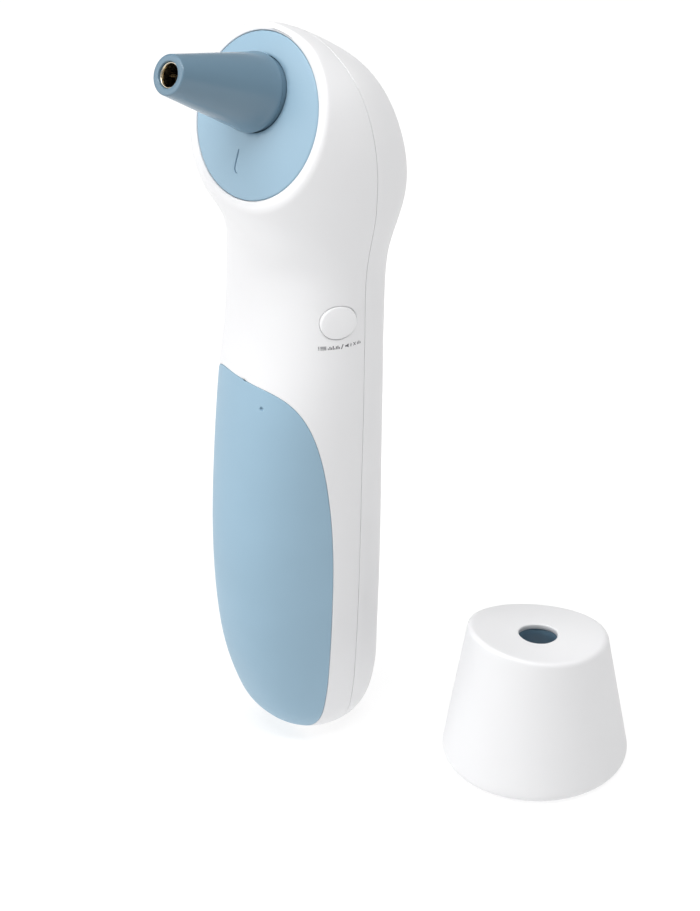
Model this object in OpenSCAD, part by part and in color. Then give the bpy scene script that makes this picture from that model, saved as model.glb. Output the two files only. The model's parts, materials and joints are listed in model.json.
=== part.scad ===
// Ear and forehead thermometer with a separate forehead cap.
// Frame: origin at the lower end of the handle, +Z up the handle, -Y the way the
// probe points, +X the side with the memory button. Millimetres.

/* [Handle and head] */
// Height of the full, uncut bulb shape
body_h = 159.6; // [150:0.1:168]
// Wall of the moulded housings
wall = 1.8; // [1.4:0.1:2.2]
// Depth by which the neck is drawn in under the head
neck_dip = 1.2; // [0.6:0.1:2]
// Roundness of the cross-section, 2 being an ellipse
section_n = 2.17; // [2:0.01:2.6]
// Points round one cross-section
ring_points = 56; // [40:4:72]
// Cross-sections from end to end
ring_count = 44; // [32:4:56]

/* [Tilted face] */
// Height of the centre of the blue disc
face_z = 140.8; // [139:0.1:143]
// Place of the centre of the blue disc, in front of the seam
face_y = -11.9; // [-13:0.1:-11.5]
// Upward tilt of the face
face_pitch = 23.8; // [20:0.1:28]
// Radius of the blue disc
disc_r = 15.8; // [15:0.1:16]
// Rise of the domed disc at its centre
disc_dome = 2.3; // [1.8:0.1:2.6]
// Thickness of the blue disc
disc_t = 1.7; // [1.4:0.1:1.9]

/* [Probe] */
// Length of the probe beyond the disc
probe_l = 24.9; // [23:0.1:26]
// Radius of the probe at the lip round its foot
probe_r1 = 7.6; // [7.4:0.1:7.8]
// Height of the lip above the disc's edge
probe_lip = 3.2; // [3:0.1:3.6]
// Radius of the probe at its tip
probe_r2 = 3.9; // [3.7:0.1:4]
// Distance from the disc's centre up to the probe's axis
probe_up = 4.15; // [3.5:0.05:4.5]
// Extra tilt of the probe against the face
probe_tilt = 3; // [0:0.5:3]
// Outer radius of the gold-plated waveguide tube
tube_r = 2.45; // [2.3:0.05:2.5]
// Inner radius of the waveguide tube
tube_bore_r = 1.75; // [1.5:0.05:1.9]

/* [Battery cover] */
// Height of the top of the arched cover
cover_top = 85.4; // [84:0.1:86]
// Height at which the arch begins
cover_spring = 40; // [36:1:46]
// Distance of the cover's long edges in front of the seam
cover_edge = 6.4; // [6:0.1:6.8]
// Distance of the top of the arch in front of the seam
cover_front = 16.4; // [16:0.1:17]
// Clear gap around the cover
cover_gap = 0.3; // [0.25:0.05:0.35]

/* [Batteries] */
// Length of an AAA cell
cell_l = 44.5; // [44:0.1:44.5]
// Radius of an AAA cell
cell_r = 5.2; // [5:0.05:5.25]

/* [Buttons] */
// Radius of the round side button
memory_r = 3.6; // [3.2:0.1:3.8]
// Half-width of the oval scan button
scan_a = 7.5; // [6.5:0.1:8]
// Half-height of the oval scan button
scan_b = 6; // [5.5:0.1:6.5]
// Height of the scan button's centre
scan_z = 99; // [97:1:101]

/* [Display] */
// Half-width of the display window
window_a = 12; // [11:0.1:12.5]
// Half-height of the display window
window_b = 10.5; // [9.5:0.1:11]
// Height of the display window's centre
window_z = 127; // [126:0.5:128]

/* [Forehead cap] */
// Radius at the base
cap_r1 = 18.85; // [18.6:0.05:19]
// Radius at the slanted top
cap_r2 = 14; // [13.6:0.1:14.4]
// Height on the axis
cap_h = 28.8; // [28:0.1:30]
// Slant of the top
cap_slant = 11; // [8:0.5:13]
// Thickness of the slanted top
cap_top_t = 1.2; // [1:0.1:1.8]
// Radius of the hole in the top
cap_hole_r = 3.9; // [3.7:0.1:4]

/* [Hidden] */

// Widths at 17 stations from the lower end to the top. The stations close up
// towards both ends by the cosine rule in z_at().
half_width = [0, 7.8, 11.9, 13.7, 14.6, 15.3, 15.8, 16.2, 16.7, 17, 17.5, 20.2, 20.2,
    17.1, 11.6, 5.7, 0];
front_depth = [0, 7.6, 12.5, 15.9, 18.7, 20.1, 20.3, 19.2, 17.1, 14, 13.5, 18.8, 21.5,
    21.7, 18.5, 11.3, 0];
back_depth = [0, 6.7, 10.9, 12.7, 12.6, 12.6, 12.6, 12.4, 12.2, 12.2, 13.1, 17.1, 17.1,
    15.2, 10.75, 4.2, 0];
centre_y = [0, 0, 0, 0, 0, 0, 0, 0, 0, 0, 0, 0, -1.8, -4.8, -9.4, -11.3, 0.9];
spans = len(half_width) - 1;

white = "#f2f2f3";
blue = "#9fbfd4";
deep_blue = "#7da3bd";
pcb_green = "#2f6b45";
metal = "#c9c9c6";
gold = "#cdb27a";
black = "#26282b";

board_y = 2;
board_t = 1.6;
cell_x = 5.35;
cell_y = -7.6;
cell_z = 26;
tray_z0 = 20;
tray_z1 = 75;
web_z = [13, 80];
side_x = 15.75;
side_y = -5.55;
side_z = 100.9;
side_turn = -26.4;
cap_x = 40.9;
cap_y = 25.2;
cap_slant_dir = -72;
cap_wall = 1.8;
cap_foot = 3.2;
seam_gap = 0.05;
neck_z = 115;
neck_reach = 10;

// Catmull-Rom curve through a list, for t from 0 to 1; odd mirrors the ends
// through zero, so that the bulb closes round.
function pick(v, i, odd) =
    i < 0 ? (odd ? -v[1] : v[1]) :
    i > spans ? (odd ? -v[spans - 1] : 2 * v[spans] - v[spans - 1]) : v[i];
function curve(v, t, odd = true) =
    let (s = min(max(t, 0), 1) * spans,
         i = min(floor(s), spans - 1),
         f = s - i,
         a = pick(v, i - 1, odd),
         b = v[i],
         c = v[i + 1],
         d = pick(v, i + 2, odd))
    0.5 * (2 * b + (c - a) * f + (2 * a - 5 * b + 4 * c - d) * f * f
        + (3 * b - a - 3 * c + d) * f * f * f);
function z_at(t) = body_h * (1 - cos(180 * t)) / 2;
function t_at(z) = acos(1 - 2 * z / body_h) / 180;
// Depth in front of the seam, drawn in where the neck runs up under the head
function front(t) = curve(front_depth, t)
    - neck_dip * pow(max(1 - pow((z_at(t) - neck_z) / neck_reach, 2), 0), 2);
function power(v) = sign(v) * pow(abs(v), 2 / section_n);

// One cross-section, pulled in by inset
function section(t, inset) =
    let (w = curve(half_width, t) - inset,
         f = front(t) - inset,
         b = curve(back_depth, t) - inset,
         c = curve(centre_y, t, false))
    [for (i = [0:ring_points - 1])
        let (a = 360 * i / ring_points)
        [w * power(cos(a)), c + (sin(a) < 0 ? f : b) * power(sin(a)), z_at(t)]];

// Depth of the outside of the housing behind the seam at a point of the back
function back_y(x, z) =
    let (t = t_at(z),
         w = curve(half_width, t),
         b = curve(back_depth, t),
         c = curve(centre_y, t, false))
    c + b * pow(max(1 - pow(abs(x) / w, section_n), 0), 1 / section_n);

// Half-width of the inside of the housing at a depth in front of the seam
function inside_x(y, z) =
    let (t = t_at(z),
         w = curve(half_width, t) - wall,
         f = front(t) - wall)
    w * pow(max(1 - pow(abs(y) / f, section_n), 0), 1 / section_n);

// The bulb from end to end, or its inside, as one closed surface
module bulb(inset = 0, t0 = 0.01, t1 = 0.94) {
    rings = [for (k = [0:ring_count]) section(t0 + (t1 - t0) * k / ring_count, inset)];
    n = ring_points;
    polyhedron(
        points = [for (r = rings) each r],
        faces = concat(
            [[for (i = [0:n - 1]) i]],
            [[for (i = [n - 1:-1:0]) ring_count * n + i]],
            [for (k = [0:ring_count - 1], i = [0:n - 1])
                [k * n + i, (k + 1) * n + i, (k + 1) * n + (i + 1) % n, k * n + (i + 1) % n]]));
}

module on_face() {
    translate([0, face_y, face_z]) rotate([90 - face_pitch, 0, 0]) children();
}

module on_probe() {
    on_face() translate([0, probe_up, 0]) rotate([-probe_tilt, 0, 0]) children();
}

module on_side() {
    translate([side_x, side_y, side_z]) rotate([0, 0, side_turn]) rotate([0, 90, 0])
        children();
}

module on_cap() {
    translate([cap_x, cap_y, 0]) children();
}

// Everything behind the plane of the face, moved back by depth
module behind_face(depth = 0) {
    on_face() translate([-60, -200, -120 - depth]) cube([120, 260, 120]);
}

module outer_body() {
    intersection() {
        bulb();
        behind_face();
    }
}

module inner_body() {
    intersection() {
        bulb(wall, 0.075, 0.93);
        behind_face(3.3);
    }
}

// Side view of the battery cover: a straight edge and a quarter of an ellipse
module cover_profile(grow) {
    steps = 24;
    edge = [for (i = [0:steps])
        let (a = 90 * i / steps)
        [-cover_front + (cover_front - cover_edge + grow) * cos(a),
            cover_spring + (cover_top - cover_spring + grow) * sin(a)]];
    polygon(concat([[-cover_edge + grow, -5]], edge, [[-40, cover_top + grow], [-40, -5]]));
}

module cover_zone(grow = 0) {
    rotate([90, 0, 90]) linear_extrude(100, center = true) cover_profile(grow);
}

module oval(a, b, n = 2.4) {
    polygon([for (i = [0:47])
        let (t = 7.5 * i)
        [a * sign(cos(t)) * pow(abs(cos(t)), 2 / n), b * sign(sin(t)) * pow(abs(sin(t)), 2 / n)]]);
}

// A patch that follows the back of the housing, between two depths
module back_patch(a, b, z, n, outer, inner, dome = 0) {
    rings = 7;
    m = 48;
    function edge(r, i) = let (t = 360 * i / m)
        [r * a * sign(cos(t)) * pow(abs(cos(t)), 2 / n),
            z + r * b * sign(sin(t)) * pow(abs(sin(t)), 2 / n)];
    function level(r, i, off) = let (p = edge(r, i)) [p[0], back_y(p[0], p[1]) + off, p[1]];
    top = [for (k = [1:rings], i = [0:m - 1])
        level(k / rings, i, outer + dome * (1 - pow(k / rings, 2)))];
    bottom = [for (k = [1:rings], i = [0:m - 1]) level(k / rings, i, inner)];
    count = rings * m;
    centre = [level(0, 0, outer + dome), level(0, 0, inner)];
    polyhedron(
        points = concat(top, bottom, centre),
        faces = concat(
            [for (i = [0:m - 1]) [2 * count, i, (i + 1) % m]],
            [for (i = [0:m - 1]) [2 * count + 1, count + (i + 1) % m, count + i]],
            [for (k = [0:rings - 2], i = [0:m - 1])
                [k * m + i, (k + 1) * m + i, (k + 1) * m + (i + 1) % m, k * m + (i + 1) % m]],
            [for (k = [0:rings - 2], i = [0:m - 1])
                [count + k * m + i, count + k * m + (i + 1) % m,
                    count + (k + 1) * m + (i + 1) % m, count + (k + 1) * m + i]],
            [for (i = [0:m - 1])
                [(rings - 1) * m + i, count + (rings - 1) * m + i,
                    count + (rings - 1) * m + (i + 1) % m, (rings - 1) * m + (i + 1) % m]]));
}

// Tongues along the seam that reach behind the rear housing's wall
module seam_tongues() {
    for (z = [24, 44, 64, 92], s = [-1, 1]) {
        x = inside_x(0, z);
        hull() {
            translate([s * (x - 0.2), -1.8, z]) cube([1.8, 2.4, 6], center = true);
            translate([s * x, -3.6, z]) cube([0.8, 1, 5], center = true);
        }
        translate([s * (x - 0.7), -0.6, z]) cube([0.9, 4.4, 5], center = true);
    }
}

module front_housing() color(white) {
    difference() {
        union() {
            difference() {
                outer_body();
                inner_body();
                cover_zone(cover_gap);
            }
            intersection() {
                bulb(wall - 0.4, 0.07, 0.93);
                for (z = web_z) {
                    translate([-20, -5.4, z - 4]) cube([40, 2, 8]);
                    translate([0, 0, z]) rotate([90, 0, 0]) cylinder(h = 5, r = 2.8, $fn = 32);
                }
            }
        }
        translate([-60, -seam_gap, -10]) cube([120, 60, 200]);
        on_face() translate([0, 0, -2]) cylinder(h = 10, r = disc_r + 0.1, $fn = 96);
        on_face() translate([0, 0, -12]) cylinder(h = 20, r = disc_r - 2.2, $fn = 72);
        on_side() translate([0, 0, -6]) cylinder(h = 12, r = memory_r + 0.3, $fn = 48);
        for (z = web_z) translate([0, 1, z]) rotate([90, 0, 0]) cylinder(h = 12, r = 1.2, $fn = 24);
        for (s = [-1, 1]) translate([s * 6.8 - 1.3, -6, tray_z1]) cube([2.6, 3, 4.6]);
    }
    seam_tongues();
}

// Screw posts and ribs of the rear housing
module rear_posts() {
    for (z = web_z) translate([0, -0.1, z]) rotate([-90, 0, 0])
        difference() {
            translate([0, 0, z > 50 ? board_y + board_t + 0.05 : 0.1])
                cylinder(h = 20, r = 2.6, $fn = 32);
            cylinder(h = 8, r = 0.85, $fn = 24);
        }
    for (x = [-10, 10]) translate([x, board_y + board_t + 0.05, 68]) rotate([-90, 0, 0])
        cylinder(h = 20, r = 1.9, $fn = 32);
    for (z = [20:6:62]) hull() {
        translate([-7, 7, z]) cube([14, 9, 1]);
        translate([-5, 6, z]) cube([10, 9, 1]);
    }
}

module rear_housing() color(white) difference() {
    union() {
        difference() {
            outer_body();
            inner_body();
        }
        intersection() {
            bulb(wall - 0.4, 0.07, 0.93);
            rear_posts();
        }
    }
    translate([-60, -60 + seam_gap, -10]) cube([120, 60, 200]);
    translate([0, 5, window_z]) rotate([-90, 0, 0]) linear_extrude(30) oval(window_a, window_b, 5);
    translate([0, 5, scan_z]) rotate([-90, 0, 0])
        linear_extrude(30) oval(scan_a + 0.3, scan_b + 0.3);
}

// Snap tabs on the cover's long edges
module cover_tabs() {
    for (z = [37, 48, 59, 70], s = [-1, 1]) {
        x = inside_x(-9, z) - 0.8;
        hull() {
            translate([s * x, -9, z]) cube([1, 3, 6], center = true);
            translate([s * (x - 0.05), -4.6, z]) cube([0.8, 2.4, 4], center = true);
        }
    }
}

module battery_cover() color(blue) difference() {
    union() {
        intersection() {
            difference() {
                outer_body();
                inner_body();
            }
            cover_zone();
        }
        cover_tabs();
        intersection() {
            bulb(wall - 0.3, 0.07, 0.93);
            for (x = [-6, 6]) translate([x - 0.5, -17.2, 24]) cube([1, 2, 40]);
            cover_zone();
        }
    }
    translate([5.3, -16.1, 81.4]) rotate([80, 0, 16]) cylinder(h = 1, r = 0.5, center = true, $fn = 24);
}

// Height of the domed disc above its edge at a distance from its centre
function dome(r) = disc_dome * (1 - pow(r / disc_r, 2)) - 0.2;

module faceplate() color(blue) on_face() {
    ledge_r = disc_r - 2.4;
    difference() {
        union() {
            rotate_extrude($fn = 96) polygon(concat(
                [for (k = [0:12]) [disc_r * k / 12, dome(disc_r * k / 12)]],
                [[disc_r, -disc_t - 0.2]],
                [for (k = [10:-1:0]) [ledge_r * k / 10, dome(ledge_r * k / 10) - disc_t]]));
            for (a = [205, 270, 335]) rotate(a) translate([disc_r - 3.6, 0, -4.6])
                translate([-0.7, -2, 0]) cube([1.4, 4, 4]);
        }
        translate([0, probe_up, -4]) cylinder(h = 8, r = probe_r1, $fn = 96);
        translate([-0.05, -8.75, 1.4]) rotate([9, 0, -3]) cube([0.4, 4, 0.6], center = true);
        translate([0.3, -10.9, 1]) rotate([0, 0, 65]) cube([0.4, 1.1, 0.6], center = true);
    }
}

module probe_cone() color(deep_blue) on_probe() {
    tip_round = 0.4;
    neck_r = probe_r1 - 0.6;
    rotate_extrude($fn = 96) polygon(concat(
        [[tube_r + 0.02, probe_l], [probe_r2 - tip_round, probe_l]],
        [for (a = [75:-25:0])
            [probe_r2 - tip_round * (1 - cos(a)), probe_l - tip_round * (1 - sin(a))]],
        [[probe_r1 - 0.02, probe_lip + 0.3], [probe_r1, probe_lip], [probe_r1 - 0.1, probe_lip - 0.2],
            [neck_r, probe_lip - 0.6], [neck_r, -2.6], [8.9, -2.6], [8.9, -4.2], [6, -4.2], [6, -3],
            [2.9, 22], [tube_r + 0.02, 22]]));
}

module waveguide() color(gold) on_probe() difference() {
    translate([0, 0, 8]) cylinder(h = probe_l - 8.5, r = tube_r, $fn = 64);
    translate([0, 0, 7]) cylinder(h = probe_l, r = tube_bore_r, $fn = 64);
}

module sensor_holder() color(metal) on_probe() difference() {
    union() {
        translate([0, 0, -5.8]) cylinder(h = 1.6, r = 9.6, $fn = 64);
        translate([0, 0, -4.3]) cylinder(h = 10.3, r = 4.5, $fn = 64);
        translate([0, 0, 6]) cylinder(h = 8, r = 3.5, $fn = 64);
    }
    translate([0, 0, 5]) cylinder(h = 10, r = tube_r + 0.02, $fn = 64);
    translate([0, 0, -6]) cylinder(h = 13.95, r = 2.85, $fn = 64);
    for (x = [-8.3, 8.3]) translate([x, 0, -7]) cylinder(h = 4, r = 0.85, $fn = 24);
}

module thermopile_sensor() color(metal) on_probe() {
    translate([0, 0, 4.5]) cylinder(h = 0.5, r = 2.8, $fn = 48);
    translate([0, 0, 5]) cylinder(h = 2.9, r = 2.35, $fn = 48);
    for (a = [45:90:315]) rotate(a) translate([1.3, 0, -6.3]) cylinder(h = 10.9, r = 0.22, $fn = 16);
}

module sensor_board() color(pcb_green) on_probe() difference() {
    translate([0, 0, -7]) cylinder(h = 1, r = 5.4, $fn = 48);
    for (a = [45:90:315]) rotate(a) translate([1.3, 0, -8]) cylinder(h = 4, r = 0.26, $fn = 16);
}

module sensor_screws() color(metal) on_probe() for (x = [-8.3, 8.3]) translate([x, 0, 0]) {
    translate([0, 0, -7.1]) cylinder(h = 1.25, r = 1.5, $fn = 32);
    translate([0, 0, -5.9]) cylinder(h = 1.65, r = 0.8, $fn = 32);
}

// A strip swept through points in the plane x = 0
module ribbon(points, width, thick) {
    for (i = [0:len(points) - 2]) {
        a = points[i];
        b = points[i + 1];
        d = b - a;
        translate([-width / 2, a[0], a[1]]) rotate([atan2(d[1], d[0]), 0, 0])
            translate([0, 0, -thick / 2]) cube([width, norm(d) + 0.04, thick]);
    }
}

module sensor_flex() color("#b5792e")
    ribbon([[-3.3, 140.3], [-2.3, 137.8], [-0.6, 136], [1.2, 134.6], [1.8, 131]], 5, 0.2);

module main_board() color(pcb_green) difference() {
    translate([0, board_y + board_t, 0]) rotate([90, 0, 0]) linear_extrude(board_t)
        offset(r = 3, $fn = 32) offset(delta = -3) union() {
            translate([-12.4, 60]) square([24.8, 60]);
            translate([-13.2, 104]) square([26.4, 41]);
        }
    translate([0, 0, web_z[1]]) rotate([-90, 0, 0]) cylinder(h = 8, r = 1.6, $fn = 32);
    for (x = [-10, 10]) translate([x, 0, 68]) rotate([-90, 0, 0]) cylinder(h = 8, r = 1.1, $fn = 32);
}

module microcontroller() color(black) translate([-4, board_y - 1, 112]) {
    cube([7, 1, 7]);
    for (i = [0:5], s = [-1, 1])
        translate([1 + i, 0.75, 3.5 + s * 4.1]) translate([-0.15, 0, -0.6]) cube([0.3, 0.25, 1.2]);
}

module smd_components() color("#8a7a62") {
    for (i = [0:4]) translate([-10.5, board_y - 0.5, 108 + 3 * i]) cube([1.6, 0.5, 0.8]);
    for (i = [0:3]) translate([6.5, board_y - 0.6, 110 + 3 * i]) cube([2, 0.6, 1.2]);
    translate([6, board_y - 1.6, 124]) cube([3.2, 1.6, 5]);
    for (i = [0:2]) translate([-9 + 3 * i, board_y - 0.5, 103]) cube([0.8, 0.5, 1.6]);
}

module board_screws() color(metal) for (x = [-10, 10]) translate([x, 0, 68]) rotate([-90, 0, 0]) {
    translate([0, 0, board_y - 1.2]) cylinder(h = 1.2, r = 1.9, $fn = 32);
    translate([0, 0, board_y - 0.01]) cylinder(h = board_t + 0.03, r = 0.95, $fn = 32);
}

module buzzer() color(black) translate([-4.5, board_y, 92]) rotate([90, 0, 0]) difference() {
    cylinder(h = 3.4, r = 6, $fn = 64);
    translate([0, 0, 2.6]) cylinder(h = 2, r = 1, $fn = 32);
}

module scan_switch() translate([0, board_y + board_t, scan_z]) {
    color(black) translate([-3, 0, -3]) cube([6, 2.3, 6]);
    color(metal) translate([0, 2.2, 0]) rotate([-90, 0, 0]) cylinder(h = 0.8, r = 1.6, $fn = 32);
}

module memory_switch() {
    on_side() {
        color(black) translate([-2.2, -2.2, -8.6]) cube([4.4, 4.4, 3]);
        color(metal) translate([0, 0, -5.7]) cylinder(h = 0.7, r = 1.1, $fn = 32);
    }
    color(metal) for (z = [-1.4, 1.4]) translate([7.4, -1, side_z + z - 0.2]) cube([0.8, 3, 0.4]);
}

module scan_button() color(white) {
    back_patch(scan_a, scan_b, scan_z, 2.4, 0.2, -2.3, 0.5);
    translate([0, 8.4, scan_z]) rotate([-90, 0, 0]) linear_extrude(2.3) oval(scan_a - 0.8, scan_b - 0.8);
    translate([0, 7.5, scan_z]) rotate([-90, 0, 0]) linear_extrude(1) oval(scan_a + 0.9, scan_b + 0.9);
}

module memory_button() color(white) on_side() {
    rotate_extrude($fn = 64) polygon([[0, -3.7], [memory_r + 0.9, -3.7], [memory_r + 0.9, -3.1],
        [memory_r, -3.1], [memory_r, 0], [memory_r - 0.3, 0.3], [memory_r - 1.2, 0.5], [0, 0.7]]);
    translate([0, 0, -4.2]) cylinder(h = 1, r = 1.4, $fn = 32);
}

module display_window() color("#c8d4dc", 0.5)
    back_patch(window_a - 0.05, window_b - 0.05, window_z, 5, -0.15, -1.75);

module lcd_frame() color(black) difference() {
    translate([-13, board_y + board_t, window_z - 12.6]) cube([26, 4.2, 25.2]);
    translate([-11.6, board_y + board_t - 1, window_z - 11.2]) cube([23.2, 4.4, 22.4]);
    translate([-10.2, 0, window_z - 8.6]) cube([20.4, 20, 17.2]);
}

module lcd_backlight() color("#e9efe6")
    translate([-10.8, board_y + board_t, window_z - 8.4]) cube([21.6, 1.5, 16.8]);

module lcd_glass() color("#9aa79a", 0.7)
    translate([-11.5, board_y + board_t + 1.55, window_z - 11.1]) cube([23, 1.8, 22.2]);

module zebra_strips() color("#3a3a3a")
    for (s = [-1, 1]) translate([-10.5, board_y + board_t, window_z + s * 9.8 - 0.9])
        cube([21, 1.5, 1.8]);

module battery_tray() color("#e6e7e8") difference() {
    union() {
        translate([-10.2, -8, tray_z0]) cube([20.4, 6.9, tray_z1 - tray_z0]);
        for (z = [tray_z0, tray_z1 - 2]) translate([0, 0, z]) hull()
            for (x = [-4.6, 4.6]) translate([x, -7, 0]) cylinder(h = 2, r = 5.6, $fn = 32);
    }
    for (s = [-1, 1]) translate([s * cell_x, cell_y, tray_z0 + 2])
        cylinder(h = tray_z1 - tray_z0 - 4, r = cell_r + 0.1, $fn = 64);
    for (s = [-1, 1]) translate([s * cell_x - 0.8, -11, tray_z1 - 3]) cube([1.6, 3, 6]);
    translate([-9.1, cell_y - 4.1, tray_z0 + 1.9]) cube([18.2, 8.2, 0.6]);
    for (s = [-1, 1]) translate([s * cell_x - 3.7, cell_y - 4.1, tray_z1 - 2.5]) cube([7.4, 8.2, 0.6]);
}

module cell(s, up) color(up ? "#3b3f45" : "#50555c") translate([s * cell_x, cell_y, cell_z]) {
    cylinder(h = cell_l - 0.8, r = cell_r, $fn = 64);
    translate([0, 0, up ? cell_l - 0.9 : -0.8]) cylinder(h = 0.9, r = 1.8, $fn = 32);
}

module battery_left() cell(-1, true);

module battery_right() translate([0, 0, 0.8]) cell(1, false);

// A conical coil spring of round wire
module coil(r0, r1, height, turns, wire_r) {
    steps = 14 * turns;
    sides = 6;
    ring = [for (k = [0:steps])
        let (f = k / steps, a = 360 * turns * f, r = r0 + (r1 - r0) * f)
        [for (i = [0:sides - 1])
            let (q = 360 * i / sides, p = r + wire_r * cos(q))
            [p * cos(a), p * sin(a), wire_r + height * f + wire_r * sin(q)]]];
    polyhedron(
        points = [for (r = ring) each r],
        faces = concat(
            [[for (i = [0:sides - 1]) i]],
            [[for (i = [sides - 1:-1:0]) steps * sides + i]],
            [for (k = [0:steps - 1], i = [0:sides - 1])
                [k * sides + i, (k + 1) * sides + i, (k + 1) * sides + (i + 1) % sides,
                    k * sides + (i + 1) % sides]]));
}

module battery_springs() color(metal) {
    translate([-cell_x, cell_y, tray_z0 + 2.45]) coil(4.2, 2.2, 2.6, 3, 0.28);
    translate([cell_x, cell_y, tray_z1 - 2.45]) rotate([180, 0, 0]) coil(3.6, 2.2, 0.6, 2, 0.2);
}

module battery_contacts() color(metal) {
    translate([-9, cell_y - 4, tray_z0 + 2.02]) cube([18, 8, 0.4]);
    for (s = [-1, 1]) translate([s * cell_x - 3.6, cell_y - 4, tray_z1 - 2.42]) cube([7.2, 8, 0.4]);
}

// A round wire swept through points of a Bezier curve
function bezier(p, t) = pow(1 - t, 3) * p[0] + 3 * t * pow(1 - t, 2) * p[1]
    + 3 * t * t * (1 - t) * p[2] + t * t * t * p[3];
module wire(p, r) {
    rings = 14;
    sides = 8;
    pts = [for (k = [0:rings]) bezier(p, k / rings)];
    ring = [for (k = [0:rings])
        let (d = pts[min(k + 1, rings)] - pts[max(k - 1, 0)],
             w = d / norm(d),
             u = cross([1, 0, 0], w) / norm(cross([1, 0, 0], w)),
             v = cross(w, u))
        [for (i = [0:sides - 1])
            pts[k] + r * (cos(45 * i) * u + sin(45 * i) * v)]];
    polyhedron(
        points = [for (q = ring) each q],
        faces = concat(
            [[for (i = [sides - 1:-1:0]) i]],
            [[for (i = [0:sides - 1]) rings * sides + i]],
            [for (k = [0:rings - 1], i = [0:sides - 1])
                [k * sides + i, k * sides + (i + 1) % sides, (k + 1) * sides + (i + 1) % sides,
                    (k + 1) * sides + i]]));
}

module power_leads() for (s = [-1, 1]) color(s < 0 ? "#b03030" : "#202020")
    wire([[s * cell_x, -9, tray_z1 + 0.1], [s * 6, -9, tray_z1 + 3.6],
        [s * 7, -5, tray_z1 + 3], [s * 7, board_y - 0.3, tray_z1 + 2]], 0.5);

module housing_screws() color(metal) for (z = web_z) translate([0, -5.45, z]) rotate([-90, 0, 0])
    difference() {
        union() {
            translate([0, 0, -1.3]) cylinder(h = 1.3, r = 2.1, $fn = 32);
            translate([0, 0, -0.01]) cylinder(h = 11, r = 0.8, $fn = 32);
        }
        for (a = [0, 90]) rotate(a) translate([-1.2, -0.25, -2]) cube([2.4, 0.5, 1.3]);
    }

// The space under the slanted top of the cap
module under_slant(drop = 0) {
    translate([0, 0, cap_h - drop]) rotate([0, 0, cap_slant_dir]) rotate([0, -cap_slant, 0])
        translate([-60, -60, -100]) cube([120, 120, 100]);
}

module cap_shell() color(white) on_cap() difference() {
    intersection() {
        rotate_extrude($fn = 120) polygon([[0, 0], [cap_r1 - 1.6, 0], [cap_r1 - 1.2, 0.1],
            [cap_r1 - 0.6, 0.3], [cap_r1 - 0.15, 0.8], [cap_r1 - 0.02, 1.5],
            [cap_r2 - 0.6, cap_h + 4], [0, cap_h + 4]]);
        under_slant();
    }
    intersection() {
        translate([0, 0, -1]) cylinder(h = cap_h + 4, r1 = cap_r1 - cap_foot,
            r2 = cap_r2 - cap_wall - 0.6, $fn = 120);
        under_slant(cap_top_t);
    }
    cylinder(h = 60, r = cap_hole_r, $fn = 64);
}

module cap_liner() color(deep_blue) on_cap() intersection() {
    rotate_extrude($fn = 96) polygon([[probe_r1 + 1.5, 2.6], [cap_r1 - cap_foot - 0.5, 2.6],
        [cap_r1 - cap_foot - 0.65, 3.8], [10.2, 3.8], [4.9, 32], [3.3, 32]]);
    under_slant(cap_top_t + 0.05);
}

front_housing();
rear_housing();
battery_cover();
faceplate();
probe_cone();
waveguide();
sensor_holder();
thermopile_sensor();
sensor_board();
sensor_screws();
sensor_flex();
main_board();
microcontroller();
smd_components();
board_screws();
buzzer();
scan_switch();
memory_switch();
scan_button();
memory_button();
display_window();
lcd_frame();
lcd_glass();
lcd_backlight();
zebra_strips();
battery_tray();
battery_left();
battery_right();
battery_springs();
battery_contacts();
power_leads();
housing_screws();
cap_shell();
cap_liner();
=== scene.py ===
import json
import math

import bmesh
import bpy
import numpy as np
from mathutils import Matrix, Vector
from mathutils.geometry import delaunay_2d_cdt

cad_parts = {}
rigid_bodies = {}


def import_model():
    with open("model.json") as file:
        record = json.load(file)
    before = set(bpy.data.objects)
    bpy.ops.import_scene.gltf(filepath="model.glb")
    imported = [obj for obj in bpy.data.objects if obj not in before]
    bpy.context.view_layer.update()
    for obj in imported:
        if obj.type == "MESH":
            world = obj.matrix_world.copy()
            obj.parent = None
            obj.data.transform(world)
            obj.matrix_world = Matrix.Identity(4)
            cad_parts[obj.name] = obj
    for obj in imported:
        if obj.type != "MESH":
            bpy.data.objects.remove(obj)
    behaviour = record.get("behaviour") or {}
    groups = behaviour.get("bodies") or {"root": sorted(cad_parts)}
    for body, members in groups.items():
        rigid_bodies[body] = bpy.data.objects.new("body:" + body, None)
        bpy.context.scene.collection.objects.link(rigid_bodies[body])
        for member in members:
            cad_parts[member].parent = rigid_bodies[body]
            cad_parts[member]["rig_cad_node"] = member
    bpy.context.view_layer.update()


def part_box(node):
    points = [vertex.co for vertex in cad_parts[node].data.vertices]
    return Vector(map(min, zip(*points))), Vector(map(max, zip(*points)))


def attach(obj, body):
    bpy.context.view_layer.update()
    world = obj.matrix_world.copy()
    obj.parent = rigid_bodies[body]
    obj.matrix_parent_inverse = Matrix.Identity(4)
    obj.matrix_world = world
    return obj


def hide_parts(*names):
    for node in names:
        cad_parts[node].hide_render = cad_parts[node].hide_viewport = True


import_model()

MM = 0.001

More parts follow.
